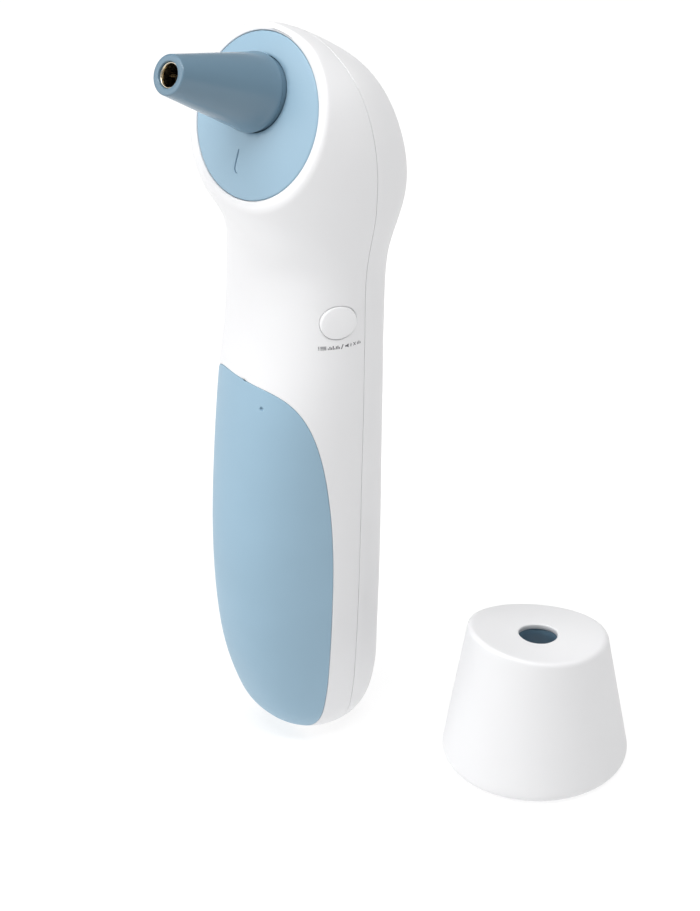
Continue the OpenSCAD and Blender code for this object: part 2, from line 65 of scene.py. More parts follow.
# ---------------------------------------------------------------- the body's shape (mm)
BODY_H = 159.6
ROUND_N = 2.17
WALL = 1.8
HALF_WIDTH = [0, 7.8, 11.9, 13.7, 14.6, 15.3, 15.8, 16.2, 16.7, 17, 17.5, 20.15, 20.15, 17.1,
              11.6, 5.7, 0]
FRONT_DEPTH = [0, 7.6, 12.5, 15.9, 18.7, 20.1, 20.3, 19.2, 17.1, 14, 13.5, 18.8, 21.5, 21.7,
               18.5, 11.3, 0]
BACK_DEPTH = [0, 6.7, 10.9, 12.7, 12.6, 12.6, 12.6, 12.4, 12.2, 12.2, 13.1, 17.1, 17.1, 15.2,
              10.75, 4.2, 0]
CENTRE_Y = [0, 0, 0, 0, 0, 0, 0, 0, 0, 0, 0, 0, -1.8, -4.8, -9.4, -11.3, 0.9]
INNER_T0 = 0.075
POST_END = 10.8
NECK_DIP, DIP_Z, DIP_REACH = 1.2, 115.0, 10.0

FACE = np.array([0.0, -11.9, 140.8])
PITCH = math.radians(23.8)
FACE_N = np.array([0.0, -math.cos(PITCH), math.sin(PITCH)])
FACE_X = np.array([1.0, 0.0, 0.0])
FACE_UP = np.array([0.0, math.sin(PITCH), math.cos(PITCH)])
DISC_R = 15.8
DISC_DOME = 2.3
RECESS_R = 15.9
NECK_Z = 114.0
CORNER_PHI = -45.0

COVER = dict(top=85.4, spring=40.0, edge=6.4, front=16.4)
COVER_GAP = 0.07
EDGE_R = 0.13
SEAM_R = 0.12
SEAM_GAP = 0.05

SIDE_C = np.array([15.75, -5.55, 100.9])
SIDE_TURN = math.radians(-26.4)
SIDE_N = np.array([math.cos(SIDE_TURN), math.sin(SIDE_TURN), 0.0])
SIDE_X = np.array([-math.sin(SIDE_TURN), math.cos(SIDE_TURN), 0.0])
SIDE_R = 3.6

WINDOW = dict(a=12.0, b=10.5, z=127.0, n=5.0)
SCAN = dict(a=7.5, b=6.0, z=99.0, n=2.4)
PIN = np.array([5.3, -16.1, 81.4])
PIN_R = 0.5

PROBE_UP = 4.15
PROBE_TILT = math.radians(3)
PROBE_L = 24.9
TUBE_R = 2.45
TUBE_BORE = 1.75

CAP = np.array([40.9, 25.2, 0.0])


def spline(values, t, odd=True):
    """Catmull-Rom curve through the stations, for t from 0 to 1."""
    v = np.array(values, float)
    n = len(v) - 1
    first = -v[1] if odd else v[1]
    last = -v[n - 1] if odd else 2 * v[n] - v[n - 1]
    w = np.concatenate([[first], v, [last]])
    s = np.clip(t, 0, 1) * n
    i = np.minimum(np.floor(s).astype(int), n - 1)
    f = s - i
    a, b, c, d = w[i], w[i + 1], w[i + 2], w[i + 3]
    return 0.5 * (2 * b + (c - a) * f + (2 * a - 5 * b + 4 * c - d) * f ** 2
                  + (3 * b - a - 3 * c + d) * f ** 3)


def z_at(t):
    return BODY_H * (1 - np.cos(np.pi * t)) / 2


def t_at(z):
    return np.arccos(np.clip(1 - 2 * np.asarray(z, float) / BODY_H, -1, 1)) / np.pi


def front(t):
    """Depth in front of the seam, drawn in where the neck runs up under the head."""
    near = np.maximum(1 - ((z_at(t) - DIP_Z) / DIP_REACH) ** 2, 0)
    return spline(FRONT_DEPTH, t) - NECK_DIP * near ** 2


def power(v):
    return np.sign(v) * np.abs(v) ** (2 / ROUND_N)


def bulb(th, t, inset=0.0):
    """Point of the outer surface, or of a surface pulled in by inset."""
    th, t = np.broadcast_arrays(np.asarray(th, float), np.asarray(t, float))
    w = spline(HALF_WIDTH, t) - inset
    f = front(t) - inset
    b = spline(BACK_DEPTH, t) - inset
    c = spline(CENTRE_Y, t, False)
    s = power(np.sin(th))
    return np.stack([w * power(np.cos(th)), c + np.where(s < 0, f, b) * s, z_at(t)], -1)


def inner(th, t):
    """The inside of the housing wall, flat across its lower end."""
    tc = np.maximum(t, INNER_T0)
    k = np.minimum(t / INNER_T0, 1)
    p = bulb(th, tc, WALL)
    p[..., 0] *= k
    p[..., 1] *= k
    d = (p - FACE) @ FACE_N + 3.3
    return p - np.maximum(d, 0)[..., None] * FACE_N


def normal(th, t):
    e = 1e-4
    du = bulb(th + e, t) - bulb(th - e, t)
    dv = bulb(th, t + e) - bulb(th, t - e)
    n = np.cross(du, dv)
    return n / np.linalg.norm(n, axis=-1, keepdims=True)


def theta_y(y, t):
    """Angle on the +X half at which the surface is at depth y."""
    c = spline(CENTRE_Y, t, False)
    d = np.where(y < c, front(t), spline(BACK_DEPTH, t))
    s = np.clip((y - c) / np.maximum(d, 1e-9), -1, 1)
    return np.arcsin(np.sign(s) * np.abs(s) ** (ROUND_N / 2))


def theta_x(x, t):
    """Angle on the back at which the surface is at x."""
    c = np.clip(x / spline(HALF_WIDTH, t), -1, 1)
    return np.arccos(np.sign(c) * np.abs(c) ** (ROUND_N / 2))


def level(p):
    """Above 0 outside the body, below 0 inside."""
    t = t_at(p[..., 2])
    w = spline(HALF_WIDTH, t)
    y = p[..., 1] - spline(CENTRE_Y, t, False)
    d = np.where(y < 0, front(t), spline(BACK_DEPTH, t))
    return (np.abs(p[..., 0]) / w) ** ROUND_N + (np.abs(y) / d) ** ROUND_N - 1


def to_param(p):
    t = t_at(p[..., 2])
    w = spline(HALF_WIDTH, t)
    y = p[..., 1] - spline(CENTRE_Y, t, False)
    d = np.where(y < 0, front(t), spline(BACK_DEPTH, t))
    a = np.sign(y) * np.abs(y / d) ** (ROUND_N / 2)
    return np.stack([np.arctan2(a, np.sign(p[..., 0]) * np.abs(p[..., 0] / w) ** (ROUND_N / 2)), t], -1)


def lengths(p):
    return np.concatenate([[0], np.cumsum(np.linalg.norm(np.diff(p, axis=0), axis=1))])


def resample(par, share):
    """Points of a curve on the surface at the given shares of its length."""
    s = lengths(bulb(par[:, 0], par[:, 1]))
    q = np.asarray(share) * s[-1]
    return np.stack([np.interp(q, s, par[:, 0]), np.interp(q, s, par[:, 1])], -1)


def cut(fn, lo, hi):
    """Where fn changes sign between lo and hi."""
    sl = fn(lo) > 0
    for _ in range(60):
        mid = (lo + hi) / 2
        if (fn(mid) > 0) == sl:
            lo = mid
        else:
            hi = mid
    return (lo + hi) / 2


def seam_curve(y):
    """The line at depth y on the +X half, from the lower end to the top."""
    sign = -1 if y < 0 else 1
    depth = FRONT_DEPTH if y < 0 else BACK_DEPTH
    t0 = cut(lambda t: float(spline(depth, t)) - abs(y), 1e-7, 0.02)
    top = cut(lambda t: float(spline(BACK_DEPTH, t) + spline(CENTRE_Y, t, False)) - y, 0.8, 0.93)
    u = np.linspace(0, 1, 6001)
    t = t0 + (top - t0) * (1 - np.cos(np.pi * u)) / 2
    th = theta_y(y, t)
    th[0], th[-1] = sign * math.pi / 2, math.pi / 2
    return np.stack([th, t], -1)


def cover_curve(grow):
    """The cover's edge on the +X half, from its lower end to the top of its arch."""
    e, f = COVER["edge"] - grow, COVER["front"]
    zb = cut(lambda z: float(front(t_at(z))) - e, 0.05, 6.0)
    u = np.linspace(0, 1, 1500)
    low = np.stack([np.full(1500, -e), zb + (COVER["spring"] - zb) * u ** 2], -1)

    def arch(a):
        return np.stack([-f + (f - e) * np.cos(a),
                         COVER["spring"] + (COVER["top"] - COVER["spring"] + grow) * np.sin(a)], -1)
    end = cut(lambda a: float(front(t_at(arch(a)[1])) + arch(a)[0]), 0.9, 1.57)
    high = arch(end * np.sin(np.pi / 2 * np.linspace(0, 1, 2500)[1:]))
    yz = np.concatenate([low, high])
    t = t_at(yz[:, 1])
    th = theta_y(yz[:, 0], t)
    th[0] = th[-1] = -math.pi / 2
    return np.stack([th, t], -1)


# ---------------------------------------------------------------- mesh building
class Mesh:
    """Collects grids of points in mm and turns them into one welded object."""

    def __init__(self):
        self.v, self.f, self.n = [], [], 0

    def grid(self, p, wrap=False, hole=None):
        p = np.asarray(p, float)
        r, c = p.shape[:2]
        at = self.n + np.arange(r * c).reshape(r, c)
        self.v.append(p.reshape(-1, 3))
        self.n += r * c
        for j in range(r - 1):
            for i in range(c if wrap else c - 1):
                if hole and hole[0] <= j < hole[1] and hole[2] <= i < hole[3]:
                    continue
                k = (i + 1) % c
                self.f.append((at[j, i], at[j, k], at[j + 1, k], at[j + 1, i]))
        return at

    def fan(self, ring, centre):
        ring = np.asarray(ring, float)
        self.v.append(np.vstack([ring, [centre]]))
        m = len(ring)
        for i in range(m):
            self.f.append((self.n + i, self.n + (i + 1) % m, self.n + m))
        self.n += m + 1

    def solid(self, verts, faces):
        self.v.append(np.asarray(verts, float))
        self.f += [tuple(self.n + i for i in f) for f in faces]
        self.n += len(verts)

    def make(self, name, weld=2e-6, sharp=None):
        me = bpy.data.meshes.new(name)
        bm = bmesh.new()
        vs = [bm.verts.new(p * MM) for p in np.vstack(self.v)]
        for f in self.f:
            try:
                bm.faces.new([vs[i] for i in dict.fromkeys(f)])
            except ValueError:
                pass
        bmesh.ops.remove_doubles(bm, verts=bm.verts, dist=weld)
        bmesh.ops.dissolve_degenerate(bm, edges=bm.edges, dist=1e-7)
        loose = [v for v in bm.verts if not v.link_faces]
        bmesh.ops.delete(bm, geom=loose, context="VERTS")
        bmesh.ops.recalc_face_normals(bm, faces=bm.faces)
        for f in bm.faces:
            f.smooth = True
        if sharp:
            for e in bm.edges:
                if len(e.link_faces) == 2 and e.calc_face_angle(0) > math.radians(sharp):
                    e.smooth = False
        bm.to_mesh(me)
        bm.free()
        obj = bpy.data.objects.new(name, me)
        bpy.context.scene.collection.objects.link(obj)
        return obj


def edge_profile(v, m, n, r, steps=4):
    """Rounds an edge: from v, r outwards along m while turning down against n."""
    rows = []
    for k in range(1, steps + 1):
        a = math.pi / 2 * k / steps
        rows.append(v + m * (r * math.sin(a)) - n * (r * (1 - math.cos(a))))
    rows.append(v + m * r - n * (r + 0.25))
    return rows


def edge_strip(mesh, par, back, r, closed=False, side=1, skip_inner=False):
    """Rounded edge and wall along a boundary; back is the row of points behind it."""
    v = bulb(par[:, 0], par[:, 1])
    n = normal(par[:, 0], par[:, 1])
    if closed:
        tan = np.roll(v, -1, 0) - np.roll(v, 1, 0)
    else:
        tan = np.gradient(v, axis=0)
        for k in (0, -1):
            if abs(v[k, 0]) < 1e-6:
                tan[k] = (1, 0, 0)
                n[k, 0] = 0
    m = np.cross(tan, n)
    m /= np.linalg.norm(m, axis=1, keepdims=True)
    away = np.sign(np.sum(m * (v - back), 1))
    away[away == 0] = 1
    m *= np.where(np.sum(away) > 0, 1, -1)
    rows = [v] + edge_profile(v, m, n, r)
    if not skip_inner:
        rows.append(inner(par[:, 0], par[:, 1]))
    rows = np.stack(rows)
    rows[..., 0] *= side
    mesh.grid(rows, wrap=closed)


def hole_rings(par, box, ring_fn, centre, ax, ay, rings):
    """Param rings from a rectangle of grid cells in to a hole's outline."""
    j0, j1, i0, i1 = box
    loop = ([(j0, i) for i in range(i0, i1)] + [(j, i1) for j in range(j0, j1)]
            + [(j1, i) for i in range(i1, i0, -1)] + [(j, i0) for j in range(j1, j0, -1)])
    outer = np.array([par[j, i] for j, i in loop])
    d = bulb(outer[:, 0], outer[:, 1]) - centre
    ang = np.arctan2(d @ ay, d @ ax)
    inn = ring_fn(ang)
    out = []
    for k in range(rings + 1):
        s = (k / rings) ** 0.8
        out.append(outer * (1 - s) + inn * s)
    return np.array(out)


def project(points, axis):
    """Params of the surface where lines through points along axis meet it."""
    lo = points - axis * 6
    hi = points + axis * 6
    for _ in range(50):
        mid = (lo + hi) / 2
        inside = level(mid) < 0
        lo = np.where(inside[:, None], mid, lo)
        hi = np.where(inside[:, None], hi, mid)
    return to_param((lo + hi) / 2)


def nearest_cells(par, centre, reach, ax, ay):
    """The block of grid cells that covers reach on every side of centre."""
    p = bulb(par[..., 0], par[..., 1]) - centre
    a, b = p @ ax, p @ ay
    near = (np.abs(a) < reach) & (np.abs(b) < reach) & (np.linalg.norm(p, axis=-1) < 2.2 * reach)
    j, i = np.where(near)
    return j.min(), j.max(), i.min(), i.max()


def blend_rows(a, b, n):
    """Rows of params from curve a to curve b; returns (len(a), n, 2)."""
    s = np.linspace(0, 1, n)[None, :, None]
    return a[:, None, :] * (1 - s) + b[:, None, :] * s


def param_grid(mesh, par, side, box=None):
    """Adds the outer and inner surface over a grid of params."""
    for fn in (bulb, inner):
        p = fn(par[..., 0], par[..., 1])
        p[..., 0] *= side
        mesh.grid(p, hole=box)


# ---------------------------------------------------------------- housing
def front_shell():
    mesh = Mesh()
    seam = seam_curve(-(SEAM_GAP + SEAM_R))
    t_neck = float(t_at(NECK_Z))
    low = seam[seam[:, 1] <= t_neck]
    low = np.vstack([low, [theta_y(-(SEAM_GAP + SEAM_R), t_neck), t_neck]])
    high = np.vstack([low[-1:], seam[seam[:, 1] > t_neck]])
    hole = cover_curve(COVER_GAP + EDGE_R)
    zt = float(z_at(hole[-1, 1]))

    # the handle: rows run from the seam to the centre line or the cover's edge
    n_foot, n_cover, n_neck, cols = 6, 150, 44, 40
    sl = lengths(bulb(low[:, 0], low[:, 1]))[-1]
    z_split = 97.0
    split = lengths(bulb(low[:, 0], low[:, 1]))[np.searchsorted(low[:, 1], t_at(z_split))] / sl
    foot_share = 0.012
    foot_mid = np.stack([np.full(n_foot, -math.pi / 2),
                         np.linspace(low[0, 1], hole[0, 1], n_foot, endpoint=False)], -1)
    foot_seam = resample(low, foot_share * np.linspace(0, 1, n_foot, endpoint=False))
    u = np.linspace(0, 1, n_cover)
    cover_mid = resample(hole, u)
    cover_seam = resample(low, foot_share + (split - foot_share) * u)
    zn = np.linspace(zt, NECK_Z, n_neck + 1)[1:]
    neck_mid = np.stack([np.full(n_neck, -math.pi / 2), t_at(zn)], -1)
    neck_seam = resample(low, split + (1 - split) * np.linspace(0, 1, n_neck + 1)[1:])
    seam_line = np.vstack([foot_seam, cover_seam, neck_seam])
    mid_line = np.vstack([foot_mid, cover_mid, neck_mid])
    strip = blend_rows(seam_line, mid_line, cols)

    # the head: rows run from the tilted face to the neck and the seam
    n_front, n_side, out_rows = cols, 100, 46
    phi_a = np.linspace(-90, CORNER_PHI, n_front)
    phi_b = np.linspace(CORNER_PHI, 90, n_side + 1)[1:]
    phi = np.radians(np.concatenate([phi_a, phi_b]))
    spoke = np.cos(phi)[:, None] * FACE_X + np.sin(phi)[:, None] * FACE_UP
    lo, hi = np.full(len(phi), 12.0), np.full(len(phi), 24.0)
    for _ in range(50):
        mid = (lo + hi) / 2
        out = level(FACE + mid[:, None] * spoke) > 0
        hi, lo = np.where(out, mid, hi), np.where(out, lo, mid)
    rim = lo
    corner = FACE + rim[:, None] * spoke
    kp = to_param(corner)
    kp[0, 0], kp[-1, 0] = -math.pi / 2, math.pi / 2
    edge = np.vstack([strip[-1][::-1],
                      resample(high, lengths(corner[n_front - 1:])[1:]
                               / lengths(corner[n_front - 1:])[-1])])
    head = blend_rows(kp, edge, 400)
    pts = bulb(head[..., 0], head[..., 1])
    soft = 1.1
    par_out, flat_rows = [], []
    for i in range(len(phi)):
        s = lengths(pts[i])
        q = soft + (s[-1] - soft) * np.linspace(0, 1, out_rows) ** 1.15
        par_out.append(np.stack([np.interp(q, s, head[i, :, 0]), np.interp(q, s, head[i, :, 1])], -1))
    par_out = np.array(par_out)
    start = bulb(par_out[:, 0, 0], par_out[:, 0, 1])
    a = corner - soft * spoke
    top = []
    for r, d in ((RECESS_R, -2.0), (RECESS_R, -0.45), (RECESS_R, -0.2), (RECESS_R + 0.03, -0.1),
                 (RECESS_R + 0.09, -0.03), (RECESS_R + 0.2, 0.0), (RECESS_R + 0.4, 0.0)):
        top.append(FACE + r * spoke + d * FACE_N)
    for k in range(9):
        s = k / 8
        top.append((1 - s) ** 2 * a + 2 * s * (1 - s) * corner + s * s * start)
    top = np.stack(top)
    back = np.stack([top[0], FACE + (RECESS_R - 1.8) * spoke - 2.0 * FACE_N,
                     FACE + (RECESS_R - 1.8) * spoke - 3.3 * FACE_N,
                     inner(par_out[:, 0, 0], par_out[:, 0, 1])])
    side_box = nearest_cells(strip, SIDE_C, SIDE_R + 2.2, SIDE_X, np.array([0, 0, 1.0]))
    for side in (1, -1):
        box = side_box if side > 0 else None
        param_grid(mesh, strip, side, box)
        param_grid(mesh, par_out, side)
        for g in (top, back):
            g = g.copy()
            g[..., 0] *= side
            mesh.grid(g)
        seam_par = np.vstack([seam_line, edge[n_front:]])
        prev = np.vstack([strip[:, 1], par_out[n_front:, -2]])
        edge_strip(mesh, seam_par, bulb(prev[:, 0], prev[:, 1]), SEAM_R, side=side)
        in_row = strip[n_foot:n_foot + n_cover, -2]
        edge_strip(mesh, cover_mid, bulb(in_row[:, 0], in_row[:, 1]), EDGE_R, side=side)
    ring = hole_rings(strip, side_box, side_ring(SIDE_R + 0.08 + EDGE_R), SIDE_C, SIDE_X,
                      np.array([0, 0, 1.0]), 8)
    for fn in (bulb, inner):
        mesh.grid(fn(ring[..., 0], ring[..., 1]), wrap=True)
    edge_strip(mesh, ring[-1], bulb(ring[-2][:, 0], ring[-2][:, 1]), EDGE_R, closed=True)
    for z in (13, 80):
        web(mesh, z)
    return mesh.make("front_shell")


def side_ring(r):
    def fn(ang):
        c = SIDE_C + r * (np.cos(ang)[:, None] * SIDE_X + np.sin(ang)[:, None] * np.array([0, 0, 1.0]))
        return project(c, SIDE_N)
    return fn


def web(mesh, z):
    """Cross web with a screw boss, just inside the housing wall."""
    m = 40
    y0, y1 = -5.4, -3.4
    x0, x1 = [], []
    for y, xs in ((y0, x0), (y1, x1)):
        for zz in (z - 4, z + 4):
            t = float(t_at(zz))
            w = float(spline(HALF_WIDTH, t)) - WALL + 0.3
            f = float(front(t)) - WALL + 0.3
            xs.append(w * max(1 - (abs(y) / f) ** ROUND_N, 0) ** (1 / ROUND_N))
    r = 0.3
    prof = [(y0, -4 + r), (y0 + r * 0.3, -4 + r * 0.3), (y0 + r, -4), (y1 - r, -4),
            (y1 - r * 0.3, -4 + r * 0.3), (y1, -4 + r), (y1, 4 - r), (y1 - r * 0.3, 4 - r * 0.3),
            (y1 - r, 4), (y0 + r, 4), (y0 + r * 0.3, 4 - r * 0.3), (y0, 4 - r)]
    u = np.linspace(-1, 1, m)
    rows = []
    for y, dz in prof:
        k = (dz + 4) / 8
        q = (y - y0) / (y1 - y0)
        half = (x0[0] * (1 - k) + x0[1] * k) * (1 - q) + (x1[0] * (1 - k) + x1[1] * k) * q
        rows.append(np.stack([u * half, np.full(m, y), np.full(m, z + dz)], -1))
    mesh.grid(np.stack(rows, 1), wrap=True)
    lathe_into(mesh, [(1.2, -4.9), (1.25, -5.0), (2.5, -5.0), (2.72, -4.92), (2.8, -4.7), (2.8, -0.2),
                      (2.6, 0), (1.2, 0), (1.2, -4.9)], np.array([0, 0, z * 1.0]),
               np.array([0, 1.0, 0]), 32)


def lathe_into(mesh, prof, origin, axis, n):
    axis = axis / np.linalg.norm(axis)
    u = np.cross(axis, [0, 0, 1.0]) if abs(axis[2]) < 0.9 else np.cross(axis, [1.0, 0, 0])
    u /= np.linalg.norm(u)
    v = np.cross(axis, u)
    a = 2 * np.pi * np.arange(n) / n
    ring = np.cos(a)[:, None] * u + np.sin(a)[:, None] * v
    mesh.grid(np.array([origin + h * axis + r * ring for r, h in prof]), wrap=True)


def oval_ring(o, grow):
    def fn(ang):
        a, b, n = o["a"] + grow, o["b"] + grow, o["n"]
        c, s = np.cos(ang), np.sin(ang)
        k = (np.abs(c / a) ** n + np.abs(s / b) ** n) ** (-1 / n)
        t = t_at(o["z"] + k * s)
        return np.stack([theta_x(k * c, t), t], -1)
    return fn


def rear_shell():
    mesh = Mesh()
    seam = seam_curve(SEAM_GAP + SEAM_R)
    rows, cols = 240, 92
    line = resample(seam, np.linspace(0, 1, rows))
    line[0, 0] = line[-1, 0] = math.pi / 2
    other = line.copy()
    other[:, 0] = math.pi - line[:, 0]
    par = blend_rows(line, other, cols)
    up = np.array([0, 0, 1.0])
    boxes = []
    for o, extra in ((SCAN, 1.9), (WINDOW, 1.6)):
        p = bulb(par[..., 0], par[..., 1])
        near = (np.abs(p[..., 0]) < o["a"] + extra) & (np.abs(p[..., 2] - o["z"]) < o["b"] + extra)
        j, i = np.where(near)
        boxes.append((j.min(), j.max(), i.min(), i.max()))
    for fn in (bulb, inner):
        p = fn(par[..., 0], par[..., 1])
        split = boxes[1][0]
        mesh.grid(p[:split + 1], hole=boxes[0])
        b = boxes[1]
        mesh.grid(p[split:], hole=(0, b[1] - split, b[2], b[3]))
    for o, b, gap in ((SCAN, boxes[0], 0.16), (WINDOW, boxes[1], 0.05)):
        ring = hole_rings(par, b, oval_ring(o, gap + EDGE_R), np.array([0, 0, o["z"]]),
                          np.array([1.0, 0, 0]), up, 7)
        for fn in (bulb, inner):
            mesh.grid(fn(ring[..., 0], ring[..., 1]), wrap=True)
        edge_strip(mesh, ring[-1], bulb(ring[-2][:, 0], ring[-2][:, 1]), EDGE_R, closed=True)
    edge_strip(mesh, line, bulb(par[:, 1, 0], par[:, 1, 1]), SEAM_R)
    edge_strip(mesh, line, bulb(par[:, 1, 0], par[:, 1, 1]), SEAM_R, side=-1)
    for y, z in ((0.0, 13.0), (3.65, 80.0)):
        post = [(0.85, 3), (0.85, 0.1), (0.95, 0), (2.4, 0), (2.6, 0.2), (2.6, POST_END)]
        lathe_into(mesh, post, np.array([0, y, z]), np.array([0, 1.0, 0]), 32)
    return mesh.make("rear_shell")


def cover_shell():
    mesh = Mesh()
    edge = cover_curve(-EDGE_R)
    rows, cols = 190, 42
    line = resample(edge, np.linspace(0, 1, rows))
    line[0, 0] = line[-1, 0] = -math.pi / 2
    zb, zt = float(z_at(line[0, 1])), float(z_at(line[-1, 1]))
    mid = np.stack([np.full(rows, -math.pi / 2), t_at(np.linspace(zb, zt, rows))], -1)
    par = blend_rows(line, mid, cols)
    n = normal(*project(PIN[None], np.array([0.25, -0.95, 0.18]))[0])
    ax = np.cross([0, 0, 1.0], n)
    ax /= np.linalg.norm(ax)
    ay = np.cross(n, ax)
    box = nearest_cells(par, PIN, 1.7, ax, ay)

    def pin_ring(ang):
        return project(PIN + PIN_R * (np.cos(ang)[:, None] * ax + np.sin(ang)[:, None] * ay), n)
    for side in (1, -1):
        param_grid(mesh, par, side, box if side > 0 else None)
        edge_strip(mesh, line, bulb(par[:, 1, 0], par[:, 1, 1]), EDGE_R, side=side)
    ring = hole_rings(par, box, pin_ring, PIN, ax, ay, 5)
    for fn in (bulb, inner):
        mesh.grid(fn(ring[..., 0], ring[..., 1]), wrap=True)
    v = bulb(ring[-1][:, 0], ring[-1][:, 1])
    centre = v.mean(0)
    towards = (centre - v) / np.linalg.norm(centre - v, axis=1, keepdims=True)
    rows = [v] + edge_profile(v, towards, n, 0.1)
    mesh.grid(np.stack(rows), wrap=True)
    mesh.fan(rows[-1], centre - 0.4 * n)
    low = inner(ring[-1][:, 0], ring[-1][:, 1])
    mesh.fan(low, low.mean(0))
    return mesh.make("cover_shell")


# ---------------------------------------------------------------- turned pieces
def lathe(name, prof, origin, axis, n=96):
    mesh = Mesh()
    lathe_into(mesh, prof, origin, axis, n)
    return mesh.make(name)


def arc(cx, cy, r, a0, a1, n):
    return [(cx + r * math.cos(math.radians(a0 + (a1 - a0) * k / n)),
             cy + r * math.sin(math.radians(a0 + (a1 - a0) * k / n))) for k in range(n + 1)]


def dome(xy):
    """Rise of the disc's surface above its edge."""
    xy = np.asarray(xy, float)
    return DISC_DOME * (1 - np.sum(xy ** 2, -1) / DISC_R ** 2)


def face_disc():
    """The blue disc: domed face, rounded rim, a hole for the probe and the engraved mark."""
    mesh = Mesh()
    top, thick, hole_r, rim_r = -0.1, 1.7, 7.32, 0.25
    n = 144
    a = 2 * np.pi * np.arange(n) / n

    def place(xy, d, lift=True):
        xy = np.asarray(xy, float)
        d = top + d + (dome(xy)[:, None] if lift else 0)
        return FACE + xy[:, :1] * FACE_X + xy[:, 1:2] * FACE_UP + d * FACE_N

    def circle(r, cy=0.0):
        return np.stack([r * np.cos(a), cy + r * np.sin(a)], -1)
    rows = [place(circle(DISC_R - rim_r + rim_r * math.sin(k * math.pi / 10)),
                  -rim_r * (1 - math.cos(k * math.pi / 10))) for k in range(6)]
    rows += [place(circle(DISC_R), -1.0, False), place(circle(DISC_R - 0.1), -thick, False),
             place(circle(DISC_R - 2.4), -thick, False), place(circle(DISC_R - 2.5), -thick),
             place(circle(hole_r + 1, PROBE_UP * 0.8), -thick), place(circle(hole_r, PROBE_UP), -thick),
             place(circle(hole_r, PROBE_UP), -0.2), place(circle(hole_r + 0.04, PROBE_UP), -0.08),
             place(circle(hole_r + 0.15, PROBE_UP), 0)]
    mesh.grid(rows, wrap=True)
    mark = mark_outline()
    outer, hole = circle(DISC_R - rim_r), circle(hole_r + 0.15, PROBE_UP)
    fill = []
    for r in np.arange(0.9, DISC_R - rim_r - 0.3, 0.75):
        m = int(2 * math.pi * r / 0.75)
        for k in range(m):
            p = np.array([r * math.cos(2 * math.pi * k / m), r * math.sin(2 * math.pi * k / m)])
            if math.hypot(p[0], p[1] - PROBE_UP) > hole_r + 0.6 \
                    and np.linalg.norm(mark - p, axis=1).min() > 0.4 and not inside(p, mark):
                fill.append(p)
    pts = [Vector(p) for p in np.vstack([outer, hole, mark, np.array(fill)])]
    k = len(mark)
    loops = [list(range(n)), list(range(n, 2 * n))[::-1], list(range(2 * n, 2 * n + k))[::-1]]
    edges = [(l[i], l[(i + 1) % len(l)]) for l in loops for i in range(len(l))]
    v, _, f, _, _, _ = delaunay_2d_cdt(pts, edges, [], 0, 1e-6)
    v = np.array([tuple(p) for p in v])
    keep = []
    for t in f:
        c = v[list(t)].mean(0)
        if math.hypot(c[0], c[1] - PROBE_UP) > hole_r + 0.15 and not inside(c, mark) \
                and math.hypot(*c) < DISC_R - rim_r:
            keep.append(t)
    mesh.solid(place(v, 0), keep)
    inset = offset_loop(mark, 0.05)
    mesh.grid([place(mark, 0), place(offset_loop(mark, 0.025), -0.02), place(inset, -0.08),
               place(inset, -0.3)], wrap=True)
    order = place(inset, -0.3)
    m = len(order) // 2
    mesh.solid(order, [(i, i + 1, len(order) - 2 - i, len(order) - 1 - i)
                       for i in range(m - 1)])
    for ang in (205, 270, 335):
        lug(mesh, math.radians(ang), top - thick)
    return mesh.make("face_disc", sharp=50)


def lug(mesh, ang, d):
    """A short retaining lug behind the disc."""
    e = math.cos(ang) * FACE_X + math.sin(ang) * FACE_UP
    s = -math.sin(ang) * FACE_X + math.cos(ang) * FACE_UP
    rows = []
    for h, g in ((0.7, 0.0), (-2.4, 0.0), (-2.65, 0.12), (-2.75, 0.4)):
        x, y = 0.7 - g, 2.0 - g
        loop = [(-x, -y), (x, -y), (x, y), (-x, y)]
        rows.append([FACE + (DISC_R - 3.6 + p) * e + q * s + (d + h) * FACE_N for p, q in loop])
    mesh.grid(rows, wrap=True)
    mesh.solid(rows[-1], [(0, 1, 2, 3)])


def mark_outline():
    """Outline of the thin hooked line engraved under the probe."""
    path = np.array([(0.05, -6.75), (0.03, -7.2), (-0.03, -8.2), (-0.1, -9.4), (-0.14, -10.2),
                     (-0.08, -10.7), (0.12, -11.03), (0.45, -11.2), (0.85, -11.15)])
    d = np.gradient(path, axis=0)
    d /= np.linalg.norm(d, axis=1, keepdims=True)
    nrm = np.stack([-d[:, 1], d[:, 0]], -1)
    half = np.array([0.12, 0.17, 0.19, 0.19, 0.19, 0.19, 0.18, 0.15, 0.1])[:, None]
    return np.vstack([path + half * nrm, (path - half * nrm)[::-1]])


def offset_loop(loop, d):
    """Moves a closed outline inwards by d."""
    tan = np.roll(loop, -1, 0) - np.roll(loop, 1, 0)
    tan /= np.linalg.norm(tan, axis=1, keepdims=True)
    nrm = np.stack([-tan[:, 1], tan[:, 0]], -1)
    area = np.sum(loop[:, 0] * np.roll(loop[:, 1], -1) - loop[:, 1] * np.roll(loop[:, 0], -1))
    return loop + nrm * (d if area > 0 else -d)


def inside(p, loop):
    hit = False
    for i in range(len(loop)):
        (x0, y0), (x1, y1) = loop[i - 1], loop[i]
        if (y0 > p[1]) != (y1 > p[1]) and p[0] < (x1 - x0) * (p[1] - y0) / (y1 - y0) + x0:
            hit = not hit
    return hit


def probe_axis():
    a = -PROBE_TILT
    n = FACE_N * math.cos(a) - FACE_UP * math.sin(a)
    return FACE + PROBE_UP * FACE_UP, n


